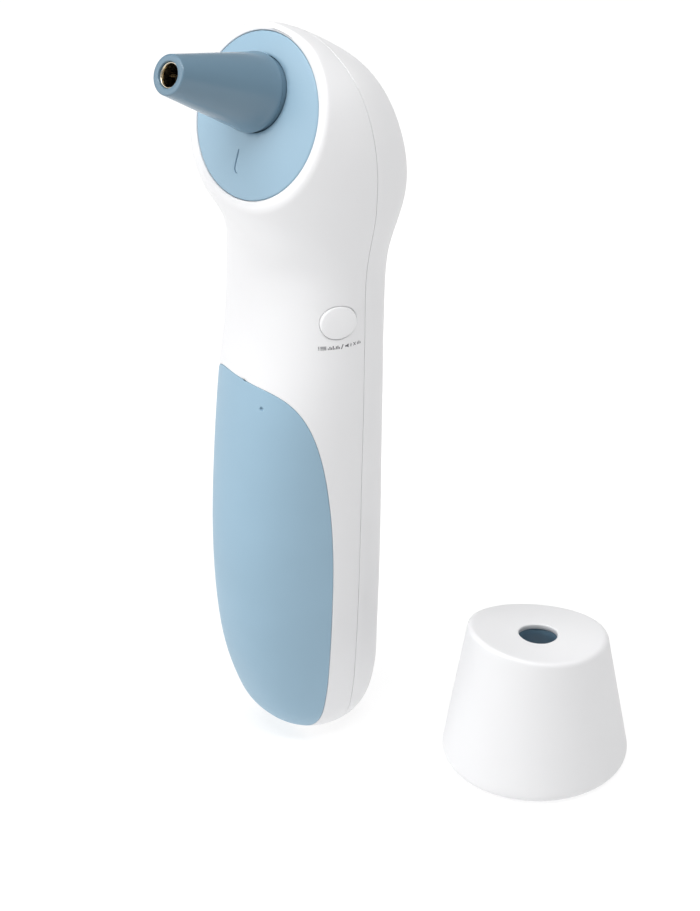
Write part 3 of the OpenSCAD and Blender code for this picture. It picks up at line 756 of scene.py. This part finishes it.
def probe():
    o, n = probe_axis()
    prof = [(2.5, 23.9), (2.5, 24.74), (2.54, 24.86), (2.66, 24.9), (3.2, 24.9)]
    prof += arc(3.48, 24.52, 0.38, 90, 8, 7)
    x0, y0 = prof[-1]
    for k in range(1, 25):
        s = k / 24
        prof.append((x0 + (7.3 - x0) * s, y0 + (4.5 - y0) * s))
    prof += [(7.36, 4.25), (7.45, 3.95), (7.53, 3.65), (7.58, 3.35), (7.6, 3.1), (7.59, 2.9), (7.54, 2.72),
             (7.44, 2.58), (7.32, 2.48), (7.22, 2.36), (7.18, 2.2), (7.18, -2.4), (7.25, -2.6)]
    prof += [(8.8, -2.62), (8.88, -2.75), (8.88, -4.1), (8.8, -4.2), (6.0, -4.2), (5.95, -3),
             (2.9, 21.9), (2.5, 22.2), (2.5, 23.9)]
    return lathe("probe_sleeve", prof, o, n, 128)


def tube():
    o, n = probe_axis()
    t = PROBE_L - 0.45
    prof = [(TUBE_R, 8), (TUBE_R, t - 0.12), (TUBE_R - 0.04, t - 0.03), (TUBE_R - 0.12, t),
            (TUBE_R - 0.2, t - 0.02), (TUBE_R - 0.26, t - 0.1), (TUBE_R - 0.36, t - 0.6),
            (TUBE_R - 0.5, t - 1.6), (TUBE_R - 0.64, t - 3), (TUBE_BORE, t - 5), (TUBE_BORE, 8.05),
            (TUBE_R, 8)]
    return lathe("waveguide_tube", prof, o, n, 72)


def side_key():
    """Round side button with a soft dome, a small edge radius and its hidden flange."""
    o = SIDE_C
    prof = [(0, 0.52), (1.2, 0.5), (2.2, 0.43), (2.8, 0.35), (3.1, 0.28)]
    prof += [(3.1 + 0.5 * math.sin(math.radians(a)), -0.22 + 0.5 * math.cos(math.radians(a)))
             for a in range(15, 91, 15)]
    prof += [(3.6, -1.0), (3.6, -3.1), (4.4, -3.12), (4.5, -3.2), (4.5, -3.6), (4.4, -3.7), (1.4, -3.7),
             (1.4, -4.1), (1.3, -4.2), (0, -4.2)]
    return lathe("side_key", prof, o, SIDE_N, 96)


def back_key():
    """Oval scan button that follows the back, with a shallow thumb dish."""
    mesh = Mesh()
    m = 96
    ang = 2 * np.pi * np.arange(m) / m
    rows = []
    o = SCAN
    for g in np.linspace(0.02, 1, 22):
        rows.append(key_ring(o, g * (o["a"] - 0.35), g * (o["b"] - 0.35), ang,
                             0.28 - 0.75 * (1 - g * g) ** 1.3))
    for a in (22, 45, 68, 90):
        s, c = math.sin(math.radians(a)), math.cos(math.radians(a))
        rows.append(key_ring(o, o["a"] - 0.35 + 0.35 * s, o["b"] - 0.35 + 0.35 * s, ang, 0.28 - 0.35 * (1 - c)))
    rows.append(key_ring(o, o["a"], o["b"], ang, -0.6))
    rows.append(key_ring(o, o["a"], o["b"], ang, -2.2))
    mesh.grid(rows, wrap=True)
    mesh.fan(rows[0], [0, rows[0][:, 1].mean(), o["z"]])
    ring = rows[-1]
    mesh.grid([ring, shift_ring(o, 0.9, ang, 8.5), shift_ring(o, 0.9, ang, 7.6),
               shift_ring(o, 0.8, ang, 7.5)], wrap=True)
    mesh.fan(shift_ring(o, 0.8, ang, 7.5), [0, 7.5, o["z"]])
    return mesh.make("back_key")


def key_ring(o, a, b, ang, off):
    x = a * np.sign(np.cos(ang)) * np.abs(np.cos(ang)) ** (2 / o["n"])
    z = o["z"] + b * np.sign(np.sin(ang)) * np.abs(np.sin(ang)) ** (2 / o["n"])
    t = t_at(z)
    p = bulb(theta_x(x, t), t)
    p[:, 1] += off
    return p


def shift_ring(o, g, ang, y):
    p = key_ring(o, o["a"] + g, o["b"] + g, ang, 0)
    p[:, 1] = y
    return p


def lens():
    """Clear display window, flush in the back and rounded at its edge."""
    mesh = Mesh()
    m = 128
    ang = 2 * np.pi * np.arange(m) / m
    o = WINDOW
    rows = [key_ring(o, g * (o["a"] - 0.2), g * (o["b"] - 0.2), ang, -0.12)
            for g in np.linspace(0.03, 1, 16)]
    for a in (30, 60, 90):
        s, c = math.sin(math.radians(a)), math.cos(math.radians(a))
        rows.append(key_ring(o, o["a"] - 0.2 + 0.15 * s, o["b"] - 0.2 + 0.15 * s, ang,
                             -0.12 - 0.15 * (1 - c)))
    back = [key_ring(o, g * (o["a"] - 0.05), g * (o["b"] - 0.05), ang, -1.7)
            for g in np.linspace(1, 0.03, 8)]
    mesh.grid(rows + back, wrap=True)
    mesh.fan(rows[0], [0, rows[0][:, 1].mean(), o["z"]])
    mesh.fan(back[-1], [0, back[-1][:, 1].mean(), o["z"]])
    return mesh.make("display_lens")


# ---------------------------------------------------------------- printed marks and digits
def bar(mesh, outline, place_fn, thick):
    """A thin solid mark from a flat outline."""
    m = len(outline)
    lo = [place_fn(x, y, 0.0) for x, y in outline]
    hi = [place_fn(x, y, thick) for x, y in outline]
    mesh.solid(lo + hi, [tuple(range(m - 1, -1, -1)), tuple(range(m, 2 * m))]
               + [(i, (i + 1) % m, m + (i + 1) % m, m + i) for i in range(m)])


def rect(x0, y0, x1, y1):
    return [(x0, y0), (x1, y0), (x1, y1), (x0, y1)]


def side_marks():
    """Generic pictograms under the side button: a list, a slash and a loudspeaker."""
    mesh = Mesh()
    y_mid, z_mid = -5.05, 95.7

    def on_skin(s, h, d):
        y = y_mid + s * 0.9
        t = float(t_at(z_mid + h))
        th = float(theta_y(y, t))
        return bulb(th, t) + (0.004 + d) * normal(th, t)
    shapes = [rect(-3.95, k, -2.95, k + 0.17) for k in (-0.38, -0.09, 0.2)]
    shapes += [rect(-4.3, k, -4.1, k + 0.17) for k in (-0.38, -0.09, 0.2)]
    shapes += [rect(-2.7 + 0.3 * k, -0.38, -2.52 + 0.3 * k, h)
               for k, h in enumerate((-0.05, 0.3, 0.1, 0.4, -0.1, 0.25, 0.38, 0.05))]
    shapes += [[(-0.2, -0.5), (0.0, -0.5), (0.34, 0.5), (0.14, 0.5)]]
    shapes += [rect(0.7, -0.18, 1.05, 0.18), [(1.05, -0.18), (1.45, -0.42), (1.45, 0.42), (1.05, 0.18)]]
    for k, r in enumerate((0.3, 0.55)):
        o, i = [], []
        for a in range(-40, 41, 20):
            c, s = math.cos(math.radians(a)), math.sin(math.radians(a))
            o.append((1.5 + (r + 0.1) * c, (r + 0.1) * s))
            i.append((1.5 + r * c, r * s))
        shapes.append(o + i[::-1])
    shapes += [[(2.5, -0.34), (2.68, -0.34), (3.2, 0.34), (3.02, 0.34)],
               [(3.02, -0.34), (3.2, -0.34), (2.68, 0.34), (2.5, 0.34)],
               rect(3.5, -0.34, 3.68, 0.2), rect(3.85, -0.34, 4.03, 0.34), rect(4.2, -0.34, 4.38, 0.05)]
    for s in shapes:
        bar(mesh, s, on_skin, 0.012)
    return mesh.make("side_pictograms")


SEGMENTS = {"3": "abcdg", "6": "acdefg", "5": "acdfg"}


def segment(kind, w, h, t):
    """Outline of one display segment in a cell of width w and height h."""
    g = 0.08
    def horizontal(y):
        return [(g, y), (g + t / 2, y - t / 2), (w - g - t / 2, y - t / 2), (w - g, y),
                (w - g - t / 2, y + t / 2), (g + t / 2, y + t / 2)]

    def vertical(x, y0, y1):
        return [(x, y0 + g), (x + t / 2, y0 + g + t / 2), (x + t / 2, y1 - g - t / 2), (x, y1 - g),
                (x - t / 2, y1 - g - t / 2), (x - t / 2, y0 + g + t / 2)]
    return {"a": horizontal(h), "g": horizontal(h / 2), "d": horizontal(0),
            "b": vertical(w, h / 2, h), "c": vertical(w, 0, h / 2),
            "f": vertical(0, h / 2, h), "e": vertical(0, 0, h / 2)}[kind]


def digits():
    """A generic reading on the display, seen from the back."""
    mesh = Mesh()
    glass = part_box("lcd_glass")[1].y / MM

    def on_glass(x, y, d):
        return (-x, glass + 0.01 + d, WINDOW["z"] + y)
    x = -8.6
    for ch in "36":
        for s in SEGMENTS[ch]:
            o = [(x + px + 0.06 * py, py - 4.2) for px, py in segment(s, 3.9, 8.4, 1.0)]
            bar(mesh, o, on_glass, 0.03)
        x += 5.5
    bar(mesh, rect(x - 0.7, -4.7, x + 0.3, -3.7), on_glass, 0.03)
    x += 0.9
    for s in SEGMENTS["5"]:
        o = [(x + px + 0.06 * py, py - 4.2) for px, py in segment(s, 3.0, 6.4, 0.85)]
        bar(mesh, o, on_glass, 0.03)
    x += 4.2
    o, i = [], []
    for k in range(17):
        a = math.radians(22.5 * k)
        o.append((x + 0.4 + 0.62 * math.cos(a), 3.6 + 0.62 * math.sin(a)))
        i.append((x + 0.4 + 0.32 * math.cos(a), 3.6 + 0.32 * math.sin(a)))
    for k in range(16):
        bar(mesh, [o[k], o[k + 1], i[k + 1], i[k]], on_glass, 0.03)
    for k in range(3):
        bar(mesh, rect(-8.6 + 1.5 * k, -7.4, -7.5 + 1.5 * k, -6.4), on_glass, 0.03)
    bar(mesh, rect(5.6, -7.5, 8.4, -6.3), on_glass, 0.03)
    bar(mesh, rect(8.4, -7.2, 8.8, -6.6), on_glass, 0.03)
    return mesh.make("display_digits")


# ---------------------------------------------------------------- cap
def cap_rim_z(phi):
    return (29.2 + 2.73 * np.cos(phi + math.radians(72)) - 0.2 * np.cos(2 * phi)
            + 0.46 * np.sin(2 * phi))


def cap_top(rho, phi):
    q = np.clip(rho / 14.0, 0, 1) ** 1.4
    return cap_rim_z(phi) * q + 28.45 * (1 - q)


def cap_body():
    mesh = Mesh()
    m = 192
    phi = 2 * np.pi * np.arange(m) / m
    e = np.stack([np.cos(phi), np.sin(phi), 0 * phi], -1)
    up = np.array([0, 0, 1.0])
    r_low, z_low = 18.65, 1.6
    rim = cap_rim_z(phi)

    def ring(r, z):
        r = np.broadcast_to(r, (m,))[:, None]
        z = np.broadcast_to(z, (m,))[:, None]
        return CAP + r * e + z * up
    rows = [ring(15.6, 0.25), ring(15.75, 0.08), ring(16.0, 0.0), ring(16.5, 0.0)]
    for a in range(10, 86, 15):
        c, s = math.cos(math.radians(a)), math.sin(math.radians(a))
        rows.append(ring(16.9 + 1.85 * s ** 1.0, 1.6 - 1.6 * c))
    soft = 1.15
    r_high = 14.05
    for k in range(30):
        q = (k + 0.5) / 30
        rows.append(ring(r_low + 0.15 + (r_high - r_low - 0.15) * q * (1 - soft / rim) , z_low
                         + (rim - soft - z_low) * q))
    a0 = ring(r_low + 0.15 + (r_high - r_low - 0.15) * (1 - soft / rim), rim - soft)
    b0 = ring(r_high - soft, cap_top(r_high - soft, phi))
    k0 = ring(r_high, rim)
    for k in range(9):
        s = k / 8
        rows.append((1 - s) ** 2 * a0 + 2 * s * (1 - s) * k0 + s * s * b0)
    for r in np.linspace(r_high - soft, 4.4, 22)[1:]:
        rows.append(ring(r, cap_top(r, phi)))
    for a in (0, 25, 50, 70, 90):
        s, c = math.sin(math.radians(a)), math.cos(math.radians(a))
        rows.append(ring(4.2 - 0.3 * s, cap_top(4.2, phi) - 0.3 * (1 - c)))
    rows += [ring(3.9, cap_top(4.2, phi) - 0.7), ring(3.94, cap_top(4.2, phi) - 1.1),
             ring(4.1, cap_top(4.2, phi) - 1.2)]
    for r in np.linspace(5, 11.2, 6):
        rows.append(ring(r, cap_top(r, phi) - 1.2))
    rows += [ring(11.6, cap_top(11.6, phi) - 1.8), ring(13.0, 18.0), ring(14.3, 9.0), ring(15.4, 1.0),
             ring(15.6, 0.25)]
    mesh.grid(rows, wrap=True)
    return mesh.make("cap_body")


def cap_lining():
    mesh = Mesh()
    m = 128
    phi = 2 * np.pi * np.arange(m) / m
    e = np.stack([np.cos(phi), np.sin(phi), 0 * phi], -1)
    up = np.array([0, 0, 1.0])

    def ring(r, z):
        z = np.broadcast_to(z, (m,))[:, None]
        return CAP + r * e + z * up
    top = cap_top(4.9, phi) - 1.28
    rows = [ring(9.15, 2.8), ring(9.3, 2.62), ring(9.6, 2.6), ring(14.9, 2.6), ring(15.08, 2.7),
            ring(15.08, 3.6), ring(14.9, 3.75), ring(10.4, 3.8), ring(10.1, 4.1)]
    for k in range(12):
        q = (k + 1) / 13
        rows.append(ring(10.1 + (5.7 - 10.1) * q, 4.1 + (top - 4.1) * q))
    rows += [ring(5.65, top - 0.1), ring(5.55, top), ring(4.25, top), ring(4.12, top - 0.15)]
    for k in range(14):
        q = (k + 1) / 15
        rows.append(ring(4.1 + (9.15 - 4.1) * q, top + (2.8 - top) * q))
    rows.append(rows[0])
    mesh.grid(rows, wrap=True)
    return mesh.make("cap_lining")


# ---------------------------------------------------------------- materials
def start(name):
    m = bpy.data.materials.new(name)
    m.use_nodes = True
    nt = m.node_tree
    return m, nt, nt.nodes["Principled BSDF"]


def node(nt, kind, **values):
    n = nt.nodes.new(kind)
    for k, v in values.items():
        if hasattr(n, k):
            setattr(n, k, v)
        else:
            n.inputs[k].default_value = v
    return n


def noise(nt, scale, detail=3.0, rough=0.5):
    co = node(nt, "ShaderNodeTexCoord")
    n = node(nt, "ShaderNodeTexNoise")
    n.inputs["Scale"].default_value = scale
    n.inputs["Detail"].default_value = detail
    n.inputs["Roughness"].default_value = rough
    nt.links.new(co.outputs["Object"], n.inputs["Vector"])
    return n.outputs["Fac"]


def ramp(nt, fac, stops):
    r = node(nt, "ShaderNodeValToRGB")
    el = r.color_ramp.elements
    while len(el) < len(stops):
        el.new(0.5)
    for e, (pos, col) in zip(el, stops):
        e.position = pos
        e.color = (*col, 1)
    nt.links.new(fac, r.inputs["Fac"])
    return r.outputs["Color"]


def spread(nt, fac, lo, hi):
    r = node(nt, "ShaderNodeMapRange")
    r.inputs["To Min"].default_value = lo
    r.inputs["To Max"].default_value = hi
    r.inputs["From Min"].default_value = 0.3
    r.inputs["From Max"].default_value = 0.7
    nt.links.new(fac, r.inputs["Value"])
    return r.outputs["Result"]


def bump(nt, shader, fac, distance, strength=0.3):
    b = node(nt, "ShaderNodeBump")
    b.inputs["Strength"].default_value = strength
    b.inputs["Distance"].default_value = distance
    nt.links.new(fac, b.inputs["Height"])
    nt.links.new(b.outputs["Normal"], shader.inputs["Normal"])


def tint(c, k):
    return tuple(min(1.0, x * k) for x in c)


def plastic(name, colour, rough=0.4, vary=0.02, grain=2600.0, depth=0.00002, metal=0.0,
            coat=0.0, sss=0.0, vary_scale=60.0, shine=0.5):
    """Moulded plastic: slight colour drift, uneven gloss and a fine spark-eroded grain."""
    m, nt, s = start(name)
    drift = noise(nt, vary_scale, 2.0)
    nt.links.new(ramp(nt, drift, [(0.3, tint(colour, 1 - vary)), (0.7, tint(colour, 1 + vary))]),
                 s.inputs["Base Color"])
    nt.links.new(spread(nt, noise(nt, 220.0, 4.0, 0.6), rough - 0.03, rough + 0.03),
                 s.inputs["Roughness"])
    bump(nt, s, noise(nt, grain, 2.0), depth)
    s.inputs["Metallic"].default_value = metal
    s.inputs["Coat Weight"].default_value = coat
    s.inputs["Coat Roughness"].default_value = 0.2
    s.inputs["Specular IOR Level"].default_value = shine
    if sss:
        s.inputs["Subsurface Weight"].default_value = sss
        s.inputs["Subsurface Radius"].default_value = (1.0, 1.0, 1.0)
        s.inputs["Subsurface Scale"].default_value = 0.0006
    return m


def metal(name, colour, rough=0.25, brushed=(1, 1, 6)):
    m, nt, s = start(name)
    co = node(nt, "ShaderNodeTexCoord")
    mp = node(nt, "ShaderNodeMapping")
    mp.inputs["Scale"].default_value = brushed
    n = node(nt, "ShaderNodeTexNoise")
    n.inputs["Scale"].default_value = 900.0
    nt.links.new(co.outputs["Object"], mp.inputs["Vector"])
    nt.links.new(mp.outputs["Vector"], n.inputs["Vector"])
    nt.links.new(ramp(nt, n.outputs["Fac"], [(0.3, tint(colour, 0.92)), (0.7, tint(colour, 1.05))]),
                 s.inputs["Base Color"])
    nt.links.new(spread(nt, n.outputs["Fac"], rough - 0.06, rough + 0.08), s.inputs["Roughness"])
    bump(nt, s, n.outputs["Fac"], 0.000006, 0.2)
    s.inputs["Metallic"].default_value = 1.0
    return m


def clear(name):
    m, nt, s = start(name)
    f = noise(nt, 90.0, 2.0)
    nt.links.new(ramp(nt, f, [(0.3, (0.45, 0.5, 0.53)), (0.7, (0.5, 0.55, 0.58))]), s.inputs["Base Color"])
    nt.links.new(spread(nt, f, 0.04, 0.08), s.inputs["Roughness"])
    bump(nt, s, noise(nt, 400.0), 0.000004, 0.1)
    s.inputs["Alpha"].default_value = 0.16
    s.inputs["Specular IOR Level"].default_value = 0.6
    return m


def board(name):
    """Green solder mask over copper tracks that show as a raised, lighter pattern."""
    m, nt, s = start(name)
    co = node(nt, "ShaderNodeTexCoord")
    br = node(nt, "ShaderNodeTexBrick")
    br.inputs["Scale"].default_value = 170.0
    br.inputs["Mortar Size"].default_value = 0.012
    br.inputs["Color1"].default_value = (0.012, 0.11, 0.045, 1)
    br.inputs["Color2"].default_value = (0.014, 0.13, 0.05, 1)
    br.inputs["Mortar"].default_value = (0.03, 0.24, 0.1, 1)
    mp = node(nt, "ShaderNodeMapping")
    mp.inputs["Rotation"].default_value = (math.radians(90), 0, 0)
    nt.links.new(co.outputs["Object"], mp.inputs["Vector"])
    nt.links.new(mp.outputs["Vector"], br.inputs["Vector"])
    nt.links.new(br.outputs["Color"], s.inputs["Base Color"])
    nt.links.new(spread(nt, noise(nt, 500.0), 0.3, 0.4), s.inputs["Roughness"])
    bump(nt, s, br.outputs["Fac"], 0.00003, 0.4)
    return m


def cell_wrap(name, low, high):
    """Printed battery sleeve: a bright band near one end and bare metal at both ends."""
    m, nt, s = start(name)
    co = node(nt, "ShaderNodeTexCoord")
    sep = node(nt, "ShaderNodeSeparateXYZ")
    nt.links.new(co.outputs["Object"], sep.inputs["Vector"])
    mr = node(nt, "ShaderNodeMapRange")
    mr.inputs["From Min"].default_value = low
    mr.inputs["From Max"].default_value = high
    nt.links.new(sep.outputs["Z"], mr.inputs["Value"])
    r = node(nt, "ShaderNodeValToRGB")
    r.color_ramp.interpolation = "CONSTANT"
    el = r.color_ramp.elements
    stops = [(0.0, (0.55, 0.55, 0.56)), (0.03, (0.02, 0.035, 0.055)), (0.66, (0.55, 0.57, 0.6)),
             (0.69, (0.06, 0.2, 0.36)), (0.955, (0.6, 0.6, 0.61))]
    while len(el) < len(stops):
        el.new(0.5)
    for e, (p, c) in zip(el, stops):
        e.position, e.color = p, (*c, 1)
    nt.links.new(mr.outputs["Result"], r.inputs["Fac"])
    nt.links.new(r.outputs["Color"], s.inputs["Base Color"])
    nt.links.new(spread(nt, noise(nt, 300.0), 0.22, 0.34), s.inputs["Roughness"])
    bump(nt, s, noise(nt, 1500.0), 0.000006, 0.2)
    s.inputs["Metallic"].default_value = 0.4
    return m


WHITE = (0.80, 0.80, 0.81)
BLUE = (0.30, 0.45, 0.565)
# Partly the probe's own darker blue and partly painted shade: the colour is darkened past that blue so the
# cone's sides look shaded.
PROBE_BLUE = (0.13, 0.215, 0.285)

MAT = {
    "housing_white": plastic("housing_white", WHITE, 0.42, 0.008, sss=0.0),
    "button_white": plastic("button_white", (0.82, 0.82, 0.83), 0.33, 0.006, depth=0.000008),
    "cap_white": plastic("cap_white", (0.81, 0.81, 0.82), 0.45, 0.008),
    "face_blue": plastic("face_blue", BLUE, 0.38, 0.02),
    "cover_blue": plastic("cover_blue", BLUE, 0.45, 0.02, depth=0.00003, shine=0.3),
    "probe_blue": plastic("probe_blue", PROBE_BLUE, 0.24, 0.012, grain=1400.0, depth=0.000004),
    "liner_blue": plastic("liner_blue", (0.17, 0.28, 0.37), 0.4, 0.02),
    "gold_plate": metal("gold_plate", (0.62, 0.56, 0.45), 0.14),
    "bare_metal": metal("bare_metal", (0.72, 0.72, 0.71), 0.28),
    "spring_steel": metal("spring_steel", (0.62, 0.61, 0.6), 0.22, (1, 6, 1)),
    "board_green": board("board_green"),
    "chip_black": plastic("chip_black", (0.018, 0.019, 0.021), 0.5, 0.1, grain=1800.0),
    "small_parts": plastic("small_parts", (0.3, 0.22, 0.14), 0.45, 0.35, vary_scale=700.0),
    "flex_amber": plastic("flex_amber", (0.42, 0.17, 0.03), 0.3, 0.1),
    "lens_clear": clear("lens_clear"),
    "lcd_grey": plastic("lcd_grey", (0.30, 0.35, 0.29), 0.22, 0.03, depth=0.000004),
    "light_guide": plastic("light_guide", (0.7, 0.74, 0.68), 0.3, 0.02),
    "zebra_rubber": plastic("zebra_rubber", (0.03, 0.03, 0.03), 0.75, 0.3, vary_scale=2500.0),
    "tray_grey": plastic("tray_grey", (0.62, 0.63, 0.64), 0.48, 0.015),
    "print_grey": plastic("print_grey", (0.12, 0.12, 0.13), 0.5, 0.08, depth=0.000004),
    "segment_black": plastic("segment_black", (0.02, 0.024, 0.022), 0.35, 0.1, depth=0.000003),
    "lead_red": plastic("lead_red", (0.4, 0.03, 0.02), 0.4, 0.08),
}


def dress(obj, key):
    obj.data.materials.clear()
    obj.data.materials.append(MAT[key])


def piece(obj, body, key, replaces=()):
    dress(obj, key)
    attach(obj, body)
    if replaces:
        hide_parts(*replaces)


def cad_material(name, mat):
    """Gives every material slot of a CAD node one of this script's materials."""
    obj = next(o for o in bpy.data.objects if o.get("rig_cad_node") == name)
    for s in obj.material_slots:
        s.link = "OBJECT"
        s.material = mat


# ---------------------------------------------------------------- the pieces
piece(front_shell(), "handle", "housing_white", ["front_housing"])
piece(rear_shell(), "handle", "housing_white", ["rear_housing"])
piece(cover_shell(), "cover", "cover_blue", ["battery_cover"])
piece(face_disc(), "handle", "face_blue", ["faceplate"])
piece(probe(), "handle", "probe_blue", ["probe_cone"])
piece(tube(), "handle", "gold_plate", ["waveguide"])
piece(side_key(), "memory_key", "button_white", ["memory_button"])
piece(back_key(), "scan_key", "button_white", ["scan_button"])
piece(lens(), "handle", "lens_clear", ["display_window"])
piece(side_marks(), "handle", "print_grey")
piece(digits(), "handle", "segment_black")
piece(cap_body(), "cap", "cap_white", ["cap_shell"])
piece(cap_lining(), "cap", "liner_blue", ["cap_liner"])

CELL_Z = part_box("battery_left")
for nodes, key in (
        (("sensor_holder", "thermopile_sensor", "sensor_screws", "board_screws", "housing_screws",
          "battery_contacts"), "bare_metal"),
        (("battery_springs",), "spring_steel"),
        (("sensor_board", "main_board"), "board_green"),
        (("microcontroller", "buzzer", "lcd_frame"), "chip_black"),
        (("scan_switch", "memory_switch"), "chip_black"),
        (("smd_components",), "small_parts"),
        (("sensor_flex",), "flex_amber"),
        (("lcd_glass",), "lcd_grey"),
        (("lcd_backlight",), "light_guide"),
        (("zebra_strips",), "zebra_rubber"),
        (("battery_tray",), "tray_grey"),
        (("power_leads",), "lead_red")):
    for n in nodes:
        cad_material(n, MAT[key])
SLEEVE = cell_wrap("cell_sleeve", CELL_Z[0].z, CELL_Z[1].z)
SLEEVE_TURNED = cell_wrap("cell_sleeve_turned", CELL_Z[1].z, CELL_Z[0].z)
cad_material("battery_left", SLEEVE)
cad_material("battery_right", SLEEVE_TURNED)


# ---------------------------------------------------------------- floor, light, camera
def floor():
    me = bpy.data.meshes.new("floor")
    bm = bmesh.new()
    size, n = 3.0, 12
    vs = [[bm.verts.new((size * (2 * i / n - 1), size * (2 * j / n - 1), -0.0002)) for i in range(n + 1)]
          for j in range(n + 1)]
    for j in range(n):
        for i in range(n):
            bm.faces.new((vs[j][i], vs[j][i + 1], vs[j + 1][i + 1], vs[j + 1][i]))
    bm.to_mesh(me)
    bm.free()
    obj = bpy.data.objects.new("floor", me)
    bpy.context.scene.collection.objects.link(obj)
    m, nt, s = start("floor_white")
    nt.links.new(ramp(nt, noise(nt, 4.0), [(0.3, (0.33, 0.33, 0.33)), (0.7, (0.35, 0.35, 0.35))]),
                 s.inputs["Base Color"])
    s.inputs["Roughness"].default_value = 0.9
    s.inputs["Specular IOR Level"].default_value = 0.1
    s.inputs["Emission Color"].default_value = (1, 1, 1, 1)
    s.inputs["Emission Strength"].default_value = 0.72
    me.materials.append(m)


def area(name, place, target, size, power_w, colour=(1, 1, 1)):
    light = bpy.data.lights.new(name, "AREA")
    light.shape = "RECTANGLE"
    light.size, light.size_y = size
    light.energy = power_w
    light.color = colour
    obj = bpy.data.objects.new(name, light)
    bpy.context.scene.collection.objects.link(obj)
    obj.location = place
    obj.rotation_mode = "QUATERNION"
    obj.rotation_quaternion = (Vector(target) - Vector(place)).to_track_quat("-Z", "Y")
    return obj


def sky(strength):
    world = bpy.data.worlds.new("studio")
    bpy.context.scene.world = world
    world.use_nodes = True
    bg = world.node_tree.nodes["Background"]
    bg.inputs["Color"].default_value = (1, 1, 1, 1)
    bg.inputs["Strength"].default_value = strength


AZ, EL = math.radians(48.65), math.radians(32.05)
RIGHT = Vector((math.cos(AZ), math.sin(AZ), 0))
UP = Vector((-math.sin(AZ) * math.sin(EL), math.cos(AZ) * math.sin(EL), math.cos(EL)))
BACK = Vector((math.sin(AZ) * math.cos(EL), -math.cos(AZ) * math.cos(EL), math.sin(EL)))


def camera():
    cam = bpy.data.cameras.new("camera")
    obj = bpy.data.objects.new("camera", cam)
    bpy.context.scene.collection.objects.link(obj)
    obj.location = RIGHT * 0.00839 + Vector((0, 0, 0.06168)) + BACK * 0.733
    obj.rotation_mode = "QUATERNION"
    obj.rotation_quaternion = (-BACK).to_track_quat("-Z", "Y")
    cam.sensor_width = 36.0
    cam.lens = 36.0 * 3700 / 911
    cam.clip_start, cam.clip_end = 0.05, 20.0
    bpy.context.scene.camera = obj


floor()
sky(0.33)
MIDDLE = Vector((0.0, 0.0, 0.08))
area("key_left", MIDDLE - RIGHT * 0.88 + BACK * 0.3 + Vector((0, 0, 0.3)), MIDDLE, (0.9, 0.9), 4.6)
area("top_box", MIDDLE - BACK * 0.25 + Vector((0, 0, 1.2)), MIDDLE, (1.2, 1.2), 3.6)
area("strip", MIDDLE + BACK * 0.3 - RIGHT * 0.1 + Vector((0, 0, 0.62)), MIDDLE, (0.9, 0.16), 4.5)
area("right_box", MIDDLE + RIGHT * 0.55 + BACK * 0.2 + Vector((0, 0, 1.0)), MIDDLE, (0.5, 0.5), 0.9)
camera()
bpy.context.scene.view_settings.view_transform = "Standard"
